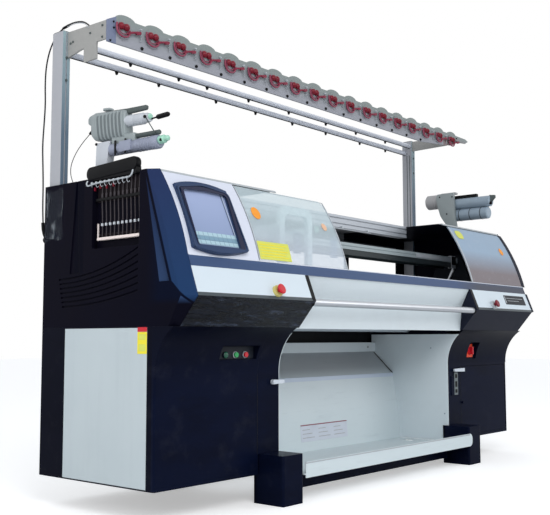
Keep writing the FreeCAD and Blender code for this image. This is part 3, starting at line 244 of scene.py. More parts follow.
def black_body():
    """Navy black enamel, with painted light making the lower cabinet fronts bluer and lighter than the sides, pale on
    the front strip of the roofs.
    """
    p = Paint("navy_black_enamel", Specular_IOR_Level=0.03)
    _, y, z = p.place()
    cloud = p.noise(1.6, 5)
    dust = p.ramp(p.noise(9, 8, 0.65), 0.55, 0.8)
    smudge = p.ramp(p.noise(2.0, 5, 0.6, (1, 1, 3)), 0.45, 0.62)
    # painted light: the lower cabinet fronts are painted bluer and lighter than the sides
    front = y.below(-290) * p.ramp(z, 900, 600)
    base = p.over(p.mix(cloud * 0.5, (8, 10, 22), (14, 17, 34)),
        (front * (0.35 + 0.5 * cloud), (10, 19, 44)),
        (smudge * 0.4, (7, 9, 20)),
        (dust * 0.04, (120, 122, 126)),
        (y.below(-262) * z.above(1597), (176, 182, 186)))
    return p.coat(base, 0.30 + 0.14 * (cloud - 0.5) + 0.1 * dust, p.noise(420, 2), 0.00012, 0.003)


def side_panel_paint():
    """Moulded end panel: brown-black sides with a painted sheen in soft blue patches, navy before the facet, blue facet
    and chamfer.
    """
    p = Paint("moulded_end_panel", Specular_IOR_Level=0.02)
    x, y, z = p.place()
    cloud = p.noise(3.0, 5)
    # painted sheen: soft bluish patches of reflected light on the sides, kept off the facet
    painted_sheen = p.ramp(p.noise(1.3, 4), 0.4, 0.7)
    fore = y.below(-205) * p.ramp(z, 985, 1015)
    edge = p.math("MINIMUM", -229 + (z - 1605) * 0.33, -399 + (z - 1090) * 1.1)
    facet = p.ramp(p.math("ABSOLUTE", x), 1757.9, 1757.2) * fore * (edge - y).below(0)
    chamfer = p.ramp(edge - y, 14, 19) * fore
    band = y.between(222, 300) * p.ramp(z, 1150, 1165)
    base = p.over(p.mix(cloud * 0.6, (10, 10, 20), (17, 14, 27)),
        (painted_sheen * 0.5 * (1 - facet), (6, 9, 26)),
        (band, (6, 7, 20)),
        (p.ramp(y, -250, -330) * fore, (7, 13, 32)),
        (facet, p.mix(p.ramp(z, 1100, 1560), (42, 60, 92), (24, 36, 66))),
        (chamfer, p.mix(p.ramp(z, 1080, 1600), (32, 56, 92), (38, 50, 84))))
    return p.coat(base, 0.36 + 0.12 * (cloud - 0.5), p.noise(380, 2), 0.00015, 0.004)


def strip_paint():
    """The control strip: white face over a dark nose line."""
    p = Paint("white_strip_dark_nose", Specular_IOR_Level=0.35)
    _, _, z = p.place()
    cloud = p.noise(3.0, 5)
    base = p.over(p.mix(cloud * 0.5, (210, 222, 230), (200, 213, 224)), (z.below(1038), (58, 68, 74)))
    return p.coat(base, 0.38 + 0.1 * cloud, p.noise(300, 2), 0.0001, 0.0012)


def chute_paint():
    """Blue-grey white sheet, duller towards the tray, with scuffs where cloth slides, a painted shadow at its top under
    the cloth bar, and a painted highlight line below that shadow.
    """
    p = Paint("scuffed_chute_enamel", Specular_IOR_Level=0.35)
    _, _, z = p.place()
    cloud = p.noise(2.4, 6)
    scuff = p.ramp(p.noise(7, 8, 0.7, (0.6, 3, 5)), 0.55, 0.72)
    base = p.over(p.mix(p.ramp(z, 150, 620), (214, 226, 230), (222, 232, 236)),
        # painted shadow: a grey band at the top of the chute, under the cloth bar
        (p.ramp(z, 590, 640) * 0.55, (160, 160, 166)),
        # painted highlight: a pale blue line just below that shadow
        (z.between(566, 592) * 0.5, (190, 204, 236)),
        (cloud * 0.3, (196, 210, 216)),
        (scuff * 0.12, (140, 152, 162)))
    return p.coat(base, 0.38 + 0.12 * cloud, p.noise(300, 2), 0.0001, 0.0015)


def service_grey():
    """Light grey panel with faint streaks that run down."""
    p = Paint("light_grey_panel", Specular_IOR_Level=0.3)
    cloud = p.noise(2.6, 6)
    streak = p.ramp(p.noise(3.0, 6, 0.6, (6, 6, 0.5)), 0.50, 0.8)
    base = p.over(p.mix(cloud, (176, 188, 193), (192, 202, 206)), (streak * 0.2, (160, 171, 178)))
    return p.coat(base, 0.42 + 0.1 * cloud, p.noise(300, 2), 0.0001, 0.001)


def film_underside():
    """Black enamel still under its shipping film, which has crept into long wrinkles; the crests of the long folds
    carry painted highlights.
    """
    p = Paint("black_enamel_under_film", Specular_IOR_Level=0.16)
    long_fold = p.noise(5.5, 6, 0.62, (1.2, 4.0, 4.0))
    sharp = p.ramp(p.noise(9.0, 8, 0.7, (0.9, 5.0, 5.0)), 0.42, 0.62)
    # painted highlight: pale blue-grey streaks on the crests of the long folds
    crest_highlight = p.ramp(long_fold, 0.56, 0.66)
    base = p.over(p.mix(sharp * 0.7, (6, 8, 14), (24, 30, 44)), (crest_highlight * 0.36, (86, 98, 122)))
    return p.set(Base_Color=base, Roughness=0.20 + 0.22 * sharp,
                 Normal=p.bump(long_fold * 0.7 + sharp * 0.3, 0.008, 0.9, 0.002))


def belt_blue():
    """Blue anodised rail, greyer towards its right end, with a painted highlight along its top."""
    p = Paint("blue_anodised_rail", Metallic=0.1, Specular_IOR_Level=0.25)
    grain = p.noise(60, 3, 0.6, (0.4, 30, 30))
    x, _, z = p.place()
    base = p.over(p.mix(p.ramp(x, 700, 1000), (46, 72, 112), (58, 62, 76)),
        # painted highlight: lighter blue towards the top edge
        (p.ramp(z, 1190, 1209) * 0.3, (70, 96, 140)),
        (grain * 0.3, (38, 58, 92)))
    return p.coat(base, 0.36 + 0.12 * grain, grain, 0.00008, 0.0015)


def extrusion(name, colour, rough, metal):
    """Drawn metal with grain along X."""
    p = Paint(name, Metallic=metal)
    grain = p.noise(70, 3, 0.6, (0.5, 25, 25))
    cloud = p.noise(5, 4)
    colour = linear(*colour)
    darker = tuple(c * 0.8 for c in colour[:3]) + (1,)
    base = p.mix(cloud * 0.4 + grain * 0.25, colour, darker)
    return p.coat(base, rough + 0.12 * grain, grain, 0.00006, 0.0012)


def rail_paint():
    """Yarn rail: a pale strip over a dark lower band."""
    p = Paint("two_tone_yarn_rail", Metallic=0.2, Specular_IOR_Level=0.35)
    _, _, z = p.place()
    grain = p.noise(70, 3, 0.6, (0.5, 25, 25))
    base = p.over(p.mix(grain * 0.5, (162, 174, 178), (134, 146, 150)), (z.below(1396), (30, 40, 44)))
    return p.coat(base, 0.38 + 0.12 * grain, grain, 0.00006, 0.0012)


def post_paint():
    """Posts: warm grey side, cool pale front with painted shade that deepens downwards."""
    p = Paint("grey_post", Specular_IOR_Level=0.3)
    _, y, z = p.place()
    cloud = p.noise(4, 4)
    base = p.over(p.mix(cloud * 0.4, (166, 168, 174), (154, 156, 163)),
        # painted shade: the front darkens from Z 2440 down to 1900
        (y.below(442.5), p.mix(p.ramp(z, 1900, 2440), (84, 104, 122), (150, 172, 178))))
    return p.coat(base, 0.4 + 0.1 * cloud, p.noise(200, 2), 0.0001, 0.003)


def beam_paint():
    """Grey beam plate, green-grey at the humps, lavender low down and at the left end, rosy at the tip."""
    p = Paint("grey_beam_plate", Specular_IOR_Level=0.3)
    x, _, z = p.place()
    cloud = p.noise(6, 5)
    tip = x.above(1640) * p.ramp(z, 2440, 2390)
    base = p.over(p.mix(p.ramp(z, 2350, 2460), (150, 152, 162), (126, 136, 134)),
        (x.below(-1662), (104, 114, 144)),
        (cloud * 0.4, (134, 139, 142)),
        (tip * 0.6, (120, 84, 78)))
    return p.coat(base, 0.42 + 0.1 * cloud, p.noise(200, 2), 0.0001, 0.002)


def plastic(name, colour, rough, shine, relief=0.00015, soft=0.0015):
    """Moulded plastic or plain enamel: a little cloudiness and a fine grain."""
    p = Paint(name, Specular_IOR_Level=shine)
    cloud = p.noise(14, 4)
    colour = linear(*colour)
    pale = tuple(min(1, c * 1.25 + 0.003) for c in colour[:3]) + (1,)
    return p.coat(p.mix(cloud * 0.6, colour, pale), rough + 0.1 * (cloud - 0.5), p.noise(700, 2), relief, soft)


def clear_sheet(name, milk, dusty, upper, lower):
    """Bent clear sheet, hazy, milkier where milk is higher, with faint dust; upper and lower are a painted reflection,
    blended upwards between Z 1290 and 1440.
    """
    p = Paint(name, IOR=1.12)
    _, _, z = p.place()
    haze = p.noise(3.0, 5)
    dust = p.ramp(p.noise(22, 8, 0.7), 0.55, 0.85)
    # painted reflection: the lower colour low on the sheet, the upper colour high on it
    base = p.over(p.mix(p.ramp(z, 1290, 1440), lower, upper), (dust * 0.3, dusty))
    return p.set(Base_Color=base, Alpha=milk + 0.08 * haze + 0.06 * dust, Roughness=0.14 + 0.10 * haze,
                 Normal=p.bump(haze, 0.002, 0.3))


def film_sheet():
    """A loose piece of shipping film: hazy with crease lines."""
    p = Paint("loose_shipping_film", IOR=1.2)
    crease = p.ramp(p.noise(16, 6, 0.7, (1, 1.4, 0.5)), 0.52, 0.66)
    return p.set(Base_Color=p.mix(crease, (120, 130, 140), (205, 214, 220)), Alpha=0.03 + 0.30 * crease,
                 Roughness=0.25 + 0.2 * crease, Normal=p.bump(crease, 0.001, 0.5))


def screen_face():
    """A lit panel with plain blocks: a wide pale field, tool rows and a side line."""
    p = Paint("lit_screen", Roughness=0.25, Specular_IOR_Level=0.25)
    x, _, z = p.place()
    rows = z.between(1262, 1322)
    cells = p.math("FRACT", (x + 1660) / 31).above(0.14) * p.math("FRACT", (z - 1262) / 20).above(0.18)
    base = p.over(p.mix(p.ramp(z, 1330, 1530), (138, 154, 188), (156, 170, 206)),
        (rows, p.mix(z.between(1282, 1302), (166, 196, 208), (118, 152, 172))),
        (rows * (1 - cells) * 0.5, (96, 118, 142)),
        (x.between(-1386, -1378) * z.above(1322), (84, 98, 128)),
        (x.between(-1378, -1372) * z.above(1322), (192, 204, 224)))
    return p.set(Base_Color=base, Emission_Color=base)


# finishes with a function of their own, and what it is told
SPECIAL = {
    "body": (black_body,), "end": (side_panel_paint,), "strip": (strip_paint,), "chute": (chute_paint,),
    "service": (service_grey,), "film": (film_underside,), "loose": (film_sheet,), "belt": (belt_blue,),
    "screen": (screen_face,), "post": (post_paint,), "beam": (beam_paint,), "rail": (rail_paint,),
    "white": (sheet_paint, "pale_blue_white_enamel", (222, 232, 236), 0.36, (212, 223, 230), 0.06, 0.35),
    "fascia": (sheet_paint, "lavender_white_fascia", (212, 217, 231), 0.36, (206, 211, 226), 0.03, 0.4),
    "under": (sheet_paint, "shaded_underside", (30, 33, 46), 0.4, (38, 41, 54), 0.02, 0.04, 0.003),
    # the last two colours of each clear sheet, upper and lower, are painted reflections
    "clear": (clear_sheet, "milky_clear_sheet", 0.47, (226, 232, 236), (204, 220, 226), (212, 222, 232)),
    "tinted": (clear_sheet, "smoky_clear_sheet", 0.66, (190, 196, 204), (176, 198, 220), (152, 144, 148)),
    "alu": (extrusion, "clear_anodised_extrusion", (170, 176, 184), 0.36, 0.35),
    "steel": (extrusion, "ground_steel", (196, 200, 206), 0.28, 0.8),
}
# plain mouldings and enamels: material name, screen colour, roughness, specular level, then grain and edge if unusual
PLAIN = {
    "bezel": ("blue_moulded_bezel", (34, 54, 88), 0.36, 0.2, 0.00015, 0.006),
    "reveal": ("navy_screen_reveal", (10, 18, 52), 0.3, 0.2),
    "tube": ("bright_round_rail", (206, 211, 222), 0.34, 0.5),
    "arm": ("warm_grey_arm", (146, 146, 144), 0.42, 0.3),
    "carriage": ("pale_teal_casting", (206, 226, 230), 0.36, 0.4),
    "cast": ("grey_cast_iron", (28, 31, 38), 0.6, 0.08, 0.0006),
    "roof": ("charcoal_enamel", (124, 125, 128), 0.5, 0.1),
    "dark": ("black_moulding", (9, 10, 13), 0.42, 0.1),
    "brown": ("dark_brown_comb", (22, 17, 21), 0.5, 0.08),
    "red": ("red_moulding", (190, 20, 38), 0.32, 0.4),
    "deep_red": ("dark_red_moulding", (112, 10, 32), 0.36, 0.25),
    "pink": ("pale_red_wire", (132, 62, 82), 0.4, 0.2),
    "arm_red": ("dull_red_arm", (122, 36, 58), 0.4, 0.2),
    "orange": ("orange_red_plate", (214, 66, 26), 0.4, 0.3),
    "motor": ("grey_motor", (160, 160, 162), 0.4, 0.3),
    "cool": ("cool_grey_tube", (138, 154, 168), 0.36, 0.4),
    "light": ("silver_lever", (196, 204, 214), 0.34, 0.5),
    "green": ("green_moulding", (40, 150, 84), 0.3, 0.4),
    "dim_green": ("unlit_green_lens", (24, 78, 60), 0.25, 0.4),
    "yellow": ("yellow_moulding", (196, 186, 112), 0.4, 0.2),
    "feeder": ("grey_green_feeder", (136, 145, 147), 0.38, 0.35),
    "feeder_pale": ("pale_feeder_part", (178, 183, 190), 0.36, 0.35),
    "feeder_mid": ("shaded_feeder_groove", (100, 108, 111), 0.42, 0.25),
    "feeder_dark": ("dim_feeder_part", (74, 82, 82), 0.42, 0.15),
    "lilac": ("lilac_grey_barrel", (134, 140, 158), 0.38, 0.35),
    "mint": ("mint_feeder_tip", (146, 194, 174), 0.36, 0.4),
    "rubber": ("black_cable_jacket", (30, 31, 34), 0.55, 0.15),
    "label_yellow": ("plain_yellow_label", (228, 214, 60), 0.5, 0.15),
    "label_lime": ("plain_lime_label", (204, 208, 96), 0.45, 0.15),
    "label_orange": ("plain_orange_dot", (236, 150, 52), 0.45, 0.15),
    "label_peach": ("plain_peach_dot", (222, 180, 150), 0.45, 0.15),
    "label_grey": ("plain_grey_plate", (30, 34, 42), 0.4, 0.12),
    "silver": ("satin_silver_plate", (170, 176, 182), 0.34, 0.5),
    "paper": ("pale_paper_label", (206, 212, 222), 0.6, 0.1),
    "rose": ("dull_rose_print", (150, 92, 104), 0.6, 0.1),
    "ivory": ("ivory_tray", (218, 206, 202), 0.5, 0.2),
    "soft_dark": ("dim_brown_wire", (58, 54, 58), 0.5, 0.15),
}
# the carried-over nodes that each finish goes on
PAINTED = {
    "body": "left_cabinet right_cabinet left_pillar_cover right_pillar_cover left_back_cover right_back_cover "
            "base_frame cabinet_door front_base_beam",
    "under": "right_underside",
    "end": "left_side_panel right_side_panel",
    "film": "left_underside",
    "roof": "middle_roof",
    "service": "left_service_panel",
    "white": "left_inner_panel right_inner_panel upper_front_cover lower_front_cover cloth_bar",
    "fascia": "left_fascia",
    "strip": "left_control_strip right_control_strip",
    "chute": "cloth_chute cloth_tray",
    "bezel": "screen_bezel",
    "screen": "screen",
    "belt": "front_rail",
    "clear": "left_clear_cover",
    "tinted": "right_clear_cover",
    "alu": "top_beam",
    "rail": "front_yarn_rail rear_yarn_rail",
    "tube": "front_yarn_tube rear_yarn_tube",
    "carriage": "knitting_carriage",
    "post": "left_post right_post",
    "arm": "left_arm right_arm",
    "beam": "tension_beam",
    "steel": "front_needle_bed rear_needle_bed operating_rod takedown_roller yarn_carrier",
    "cast": "bed_frame",
    "red": "left_stop_button stop_button power_switch_knob",
    "deep_red": "right_stop_button",
    "green": "start_button",
    "dark": "left_side_tensioner",
    "light": "left_lever door_lever",
    "feeder": "left_feeder_body right_feeder_body",
    "rubber": "post_cable feeder_cable",
}
# a material slot name for each finish; the rest take dark_plastic
SLOTS = {
    "black_paint": "body roof", "grey_paint": "service", "white_paint": "white fascia strip chute paper ivory",
    "blue_plastic": "bezel reveal", "blue_anodised": "belt", "clear_plastic": "clear tinted loose",
    "aluminium": "alu tube arm beam silver rail light", "carriage": "carriage", "steel": "steel", "cast": "cast",
    "red_plastic": "red deep_red pink arm_red orange", "green_plastic": "green dim_green",
    "feeder_plastic": "motor cool lilac feeder feeder_pale feeder_dark feeder_mid mint", "cable_rubber": "rubber",
}
SLOT_OF = {key: slot for slot, keys in SLOTS.items() for key in keys.split()}
FINISHES = {}


def finish(key):
    """The material of a finish, made at its first use."""
    if key not in FINISHES:
        maker, *told = SPECIAL[key] if key in SPECIAL else (plastic, *PLAIN[key])
        FINISHES[key] = maker(*told)
    return FINISHES[key]


# ------------------------------------------------------------------ mesh helpers
def add(name, data):
    """A new object at the origin, linked to the scene."""
    obj = bpy.data.objects.new(name, data)
    bpy.context.scene.collection.objects.link(obj)
    return obj


def shade(mesh, angle):
    for poly in mesh.polygons:
        poly.use_smooth = True
    mesh.set_sharp_from_angle(angle=angle)


def made(name, bm, material, smooth=SMOOTH):
    mesh = bpy.data.meshes.new(name)
    bm.normal_update()
    bm.to_mesh(mesh)
    bm.free()
    mesh.materials.append(material)
    if smooth:
        shade(mesh, smooth)
    return add(name, mesh)


def settle(obj, body, slot, *nodes):
    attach(obj, body)
    if nodes:
        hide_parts(*nodes)


@contextmanager
def piece(name, key, body="frame", *replaced):
    """Gathers shapes into one mesh of a finish that rides on a body: with piece(...) as bm."""
    bm = bmesh.new()
    yield bm
    bmesh.ops.recalc_face_normals(bm, faces=bm.faces)
    settle(made(name, bm, finish(key)), body, SLOT_OF.get(key, "dark_plastic"), *replaced)


def gather(name, key, shape, *calls, body="frame"):
    """A piece made of several calls of one shape."""
    with piece(name, key, body) as bm:
        for values in calls:
            shape(bm, *values)


def shell(bm, rings, caps=True):
    """Skin a list of equal rings of points, with both ends closed or left to meet."""
    grid = [[bm.verts.new(p) for p in ring] for ring in rings]
    n = len(grid[0])
    for a, b in zip(grid, grid[1:]):
        for k in range(n):
            bm.faces.new((a[k], a[(k + 1) % n], b[(k + 1) % n], b[k]))
    if caps:
        bm.faces.new(reversed(grid[0]))
        bm.faces.new(grid[-1])
    else:
        bmesh.ops.remove_doubles(bm, verts=bm.verts, dist=WELD)


def circle(centre, u, w, radius, sides):
    """Points round a centre, in the plane of two vectors."""
    return [centre + (u * math.cos(t) + w * math.sin(t)) * radius for t in turns(sides)]


def tube(bm, points, radius, sides=8, place=at):
    """A round tube along points, with its ends closed."""
    path = [place(*p) for p in points]
    rings = []
    normal = None
    for i, p in enumerate(path):
        axis = (path[min(i + 1, len(path) - 1)] - path[max(i - 1, 0)]).normalized()
        normal = normal or axis.orthogonal().normalized()
        normal = (normal - axis * normal.dot(axis)).normalized()
        rings.append(circle(p, normal, axis.cross(normal), radius / 1000, sides))
    shell(bm, rings)


def across(axis):
    """A direction made one long, and two at right angles to it."""
    axis = Vector(axis).normalized()
    u = axis.orthogonal().normalized()
    return axis, u, axis.cross(u)


def drum(bm, start, axis, profile, sides=24):
    """A turned shape: profile is (distance along the axis, radius) pairs in millimetres."""
    axis, u, w = across(axis)
    shell(bm, [circle(start + axis * d / 1000, u, w, r / 1000, sides) for d, r in profile])


def stud(bm, start, axis, radius, high, tip, small, sides=14):
    """A round head, straight up to high, then narrowing to small at tip."""
    drum(bm, start, axis, [(0, radius), (high, radius), (tip, small)], sides)


def spool(bm, start, axis, small, radius, ease, length, sides):
    """A round bar with both ends eased."""
    drum(bm, start, axis, [(0, small), (ease, radius), (length - ease, radius), (length, small)], sides)


def collar(bm, centre, axis, inner, outer, high):
    """A flat ring standing on a surface."""
    axis, u, w = across(axis)
    profile = ((0, inner), (0, outer), (high * 0.8, outer), (high, outer - 1.2), (high, inner), (0, inner))
    shell(bm, [circle(centre + axis * d / 1000, u, w, r / 1000, 28) for d, r in profile], False)


def slab(bm, outline, depth, bevel=0.0):
    """A flat outline (points in one plane) thickened along depth, with eased edges."""
    lower = [bm.verts.new(p) for p in outline]
    upper = [bm.verts.new(p + depth) for p in outline]
    n = len(outline)
    faces = [bm.faces.new(lower), bm.faces.new(upper)]
    faces += [bm.faces.new((lower[k], lower[(k + 1) % n], upper[(k + 1) % n], upper[k])) for k in range(n)]
    bmesh.ops.recalc_face_normals(bm, faces=faces)
    if bevel:
        edges = list(dict.fromkeys(e for f in faces[:2] for e in f.edges))
        bmesh.ops.bevel(bm, geom=edges, offset=bevel, segments=2, affect="EDGES", profile=0.6)


def brick(bm, x0, x1, y0, y1, z0, z1, ease=1.0):
    """A box between machine planes, with eased edges."""
    base = [at(x0, y0, z0), at(x1, y0, z0), at(x1, y1, z0), at(x0, y1, z0)]
    slab(bm, base, mm(0, 0, z1 - z0), ease / 1000)


def loft(bm, x, stations, lean=0.0):
    """An eased body along Y; stations are (y, half width, low and high over the roof)."""
    squareness = 0.55
    rings = []
    for y, half, low, high in stations:
        mid, tall = (low + high) / 2, (high - low) / 2
        ring = []
        for t in turns(20):
            c, s = math.cos(t), math.sin(t)
            rise = tall * math.copysign(abs(s) ** squareness, s)
            aside = half * math.copysign(abs(c) ** squareness, c)
            ring.append(at(x + aside, y + lean * rise, ROOF + mid + rise))
        rings.append(ring)
    shell(bm, rings)


# ------------------------------------------------------------------ outlines and surfaces
def rounded(points, radius, steps=4):
    """Round the corners of a closed flat outline."""
    out = []
    for i, p in enumerate(points):
        a, b = points[i - 1], points[(i + 1) % len(points)]
        s = p + (a - p).normalized() * min(radius, (a - p).length * 0.45)
        e = p + (b - p).normalized() * min(radius, (b - p).length * 0.45)
        for t in shares(steps):
            out.append(s * (1 - t) ** 2 + p * 2 * t * (1 - t) + e * t ** 2)
    return out


def bent(points, steps=5):
    """A smooth run through the points (Catmull-Rom)."""
    out = []
    for i in range(len(points) - 1):
        near = points[max(0, i - 1)], points[i], points[i + 1], points[min(len(points) - 1, i + 2)]
        for t in shares(steps)[:-1]:
            out.append(tuple(0.5 * (2 * q + (r - p) * t + (2 * p - 5 * q + 4 * r - s) * t * t
                                    + (3 * q - p - 3 * r + s) * t ** 3) for p, q, r, s in zip(*near)))
    return out + [tuple(points[-1])]


def square(a0, a1, b0, b1):
    """A rectangle as pairs."""
    return [(a0, b0), (a1, b0), (a1, b1), (a0, b1)]


def frame_outline(a0, a1, b0, b1, radius, steps=4):
    """A rectangle with round corners, as pairs."""
    out = []
    for ca, cb, start in ((a1 - radius, b1 - radius, 0), (a0 + radius, b1 - radius, 90),
                          (a0 + radius, b0 + radius, 180), (a1 - radius, b0 + radius, 270)):
        for t in shares(steps):
            turn = math.radians(start + 90 * t)
            out.append((ca + radius * math.cos(turn), cb + radius * math.sin(turn)))
    return out


def disc_outline(a, b, radius):
    return [(a + radius * math.cos(t), b + radius * math.sin(t)) for t in turns(24)]


def on_front(x, z, off=0.0):
    """A point of the slanted front over the belt, off millimetres proud of it."""
    dy, dz = FASCIA_TOP[0] - BELT_TOP[0], FASCIA_TOP[1] - BELT_TOP[1]
    chord = math.hypot(dy, dz)
    t = (z - BELT_TOP[1]) / dz
    for _ in range(5):
        out = BOW * 4 * t * (1 - t) + off
        t += (z - (BELT_TOP[1] + dz * t + out * dy / chord)) / dz
    return at(x, BELT_TOP[0] + dy * t - out * dz / chord, z)


def on_strip(x, z, off=0.0):
    """A point of the control strip, off millimetres proud of it."""
    dy, dz = NOSE[0] - BELT_LOW[0], NOSE[1] - BELT_LOW[1]
    chord = math.hypot(dy, dz)
    return at(x, BELT_LOW[0] + dy * (z - BELT_LOW[1]) / dz + off * dz / chord, z - off * dy / chord)


def on_left(y, z, off):
    return at(-END_FACE - off, y, z)


def on_cabinet(x, z, off):
    """A point of a cabinet's front, which curves forward from the bend upwards."""
    bend, radius, plate = 660, 270.0, -310.0
    front = plate if z <= bend else plate - radius + math.sqrt(radius ** 2 - (z - bend) ** 2)
    return at(x, front - off, z)


def on_flat(x, z, off):
    return at(x, CABINET_FRONT - off, z)


def on_chute(x, z, off):
    """A point of the lower part of the cloth chute, which has a fold."""
    fold_y, fold_z = 92, 373
    slope = 21 / 227 if z <= fold_z else 38 / 217
    return at(x, fold_y + (z - fold_z) * slope - off, z)


def on_roof(x, y, up):
    return at(x, y, ROOF + up)


def patch(bm, where, outline, off, thick):
    """A thin flat piece lying on a surface; outline in that surface's two coordinates."""
    shell(bm, [[where(a, b, d) for a, b in outline] for d in (off, off + thick)])


def bowed(bm, x0, x1, z0, z1, off, thick, steps=8):
    """A sheet that follows the bow of the slanted front."""
    heights = [z0 + (z1 - z0) * t for t in shares(steps)]
    shell(bm, [[on_front(x, z, off) for z in heights] + [on_front(x, z, off + thick) for z in reversed(heights)]
               for x in (x0, x1)])


def plates(where, *rows, body="frame"):
    """Thin plates on a surface: name, finish, height off it, thickness, then rectangles with a corner radius."""
    for name, key, off, thick, *corners in rows:
        gather(name, key, patch, *((where, frame_outline(*four), off, thick) for four in corners), body=body)


def border(bm, outer, inner, off, top):
    """A raised border between two outlines on the slanted front."""
    outer, inner = ([(p.x * 1000, p.z * 1000) for p in rounded([mm(x, 0, z) for x, z in ring], 0.022)]
                    for ring in (outer, inner))
    shell(bm, [[on_front(x, z, d) for x, z in ring] for ring, d in
               ((outer, off), (outer, top), (inner, top), (inner, off), (outer, off))], False)


# ------------------------------------------------------------------ geometry nodes
ROW_INPUTS = (("Piece", "Object", None), ("Count", "Int", 5), ("Start", "Vector", (0, 0, 0)),
              ("Step", "Vector", (0.1, 0, 0)), ("Wobble", "Vector", (0, 0, 0)), ("Finish", "Material", None))
ROW_SEED = 7


def row_tree():
    """Copies of one piece in a straight row, each turned by a seeded wobble."""
    name = "copies_in_a_row"
    if name in bpy.data.node_groups:
        return bpy.data.node_groups[name]
    group = bpy.data.node_groups.new(name, "GeometryNodeTree")
    for label, kind, default in ROW_INPUTS:
        socket = group.interface.new_socket(label, in_out="INPUT", socket_type="NodeSocket" + kind)
        if default is not None:
            socket.default_value = default
    group.interface.new_socket("Row", in_out="OUTPUT", socket_type="NodeSocketGeometry")
    t = Tree(group)
    given = t.node("NodeGroupInput").outputs
    line = t.node("GeometryNodeMeshLine", Count=given["Count"], Start_Location=given["Start"], Offset=given["Step"])
    info = t.node("GeometryNodeObjectInfo", Object=given["Piece"])
    copies = t.node("GeometryNodeInstanceOnPoints", Points=line.outputs["Mesh"], Instance=info.outputs["Geometry"])
    back = t.node("ShaderNodeVectorMath", {"operation": "SCALE"}, Vector=given["Wobble"], Scale=-1)
    shake = t.node("FunctionNodeRandomValue", {"data_type": "FLOAT_VECTOR"}, Min=back.outputs["Vector"],
                   Max=given["Wobble"], Seed=ROW_SEED)
    turn = t.node("GeometryNodeRotateInstances", Instances=copies.outputs["Instances"],
                  Rotation=shake.outputs["Value"])
    real = t.node("GeometryNodeRealizeInstances", Geometry=turn.outputs["Instances"])
    paint = t.node("GeometryNodeSetMaterial", Geometry=real.outputs["Geometry"], Material=given["Finish"])
    t.node("NodeGroupOutput", Row=paint.outputs["Geometry"])
    return group


def row(name, bm, key, count, start, step, wobble=(0, 0, 0), smooth=SMOOTH):
    """Run the row tree once on a small shape and keep its result as a plain mesh on the frame."""
    tree = row_tree()
    template = made(name + "_one", bm, finish(key), smooth)
    holder = add(name + "_holder", bpy.data.meshes.new(name + "_holder"))
    mod = holder.modifiers.new("row", "NODES")
    mod.node_group = tree
    values = {"Piece": template, "Count": count, "Start": start, "Step": step, "Wobble": wobble,
              "Finish": finish(key)}
    for item in tree.interface.items_tree:
        if item.in_out == "INPUT":
            mod[item.identifier] = values[item.name]
    bpy.context.view_layer.update()
    graph = bpy.context.evaluated_depsgraph_get()
    mesh = bpy.data.meshes.new_from_object(holder.evaluated_get(graph))
    mesh.name = name
    for used in (holder, template):
        bpy.data.objects.remove(used)
    shade(mesh, SMOOTH)
    settle(add(name, mesh), "frame", SLOT_OF.get(key, "dark_plastic"))


# ------------------------------------------------------------------ sizes a user may change
def length(name, description, default):
    return bpy.props.FloatProperty(name=name, description=description, default=default, subtype="DISTANCE",
                                   unit="LENGTH")


class KnitStandSizes(bpy.types.PropertyGroup):
    """Sizes of the yarn stand's fittings."""
    units: bpy.props.IntProperty(name="Tension units", description="Units along the beam", default=18, min=2)
    pitch: length("Unit pitch", "From unit to unit", 0.1986)
    first: length("First unit", "From the middle of the beds", -1.6)
    hump: length("Hump height", "Rise of the beam's edge over a unit", 0.02)
    cable: length("Post cable", "Diameter of the cable behind the post", 0.008)


class KnitLight(bpy.types.PropertyGroup):
    """The studio light."""
    studio: bpy.props.FloatProperty(name="Light level", description="Strength of the soft sky", default=0.62)


# ------------------------------------------------------------------ operators
class KNIT_OT_paint(bpy.types.Operator):
    """Give every carried-over part its finish"""
    bl_idname = "knit.paint"
    bl_label = "Finishes"

    def execute(self, context):
        left = set(NODES)
        for key, names in PAINTED.items():
            for name in names.split():
                data = NODES[name].data
                data.materials.clear()
                data.materials.append(finish(key))
                left.discard(name)
        if left:
            raise RuntimeError("no finish for %s" % sorted(left))
        return {"FINISHED"}


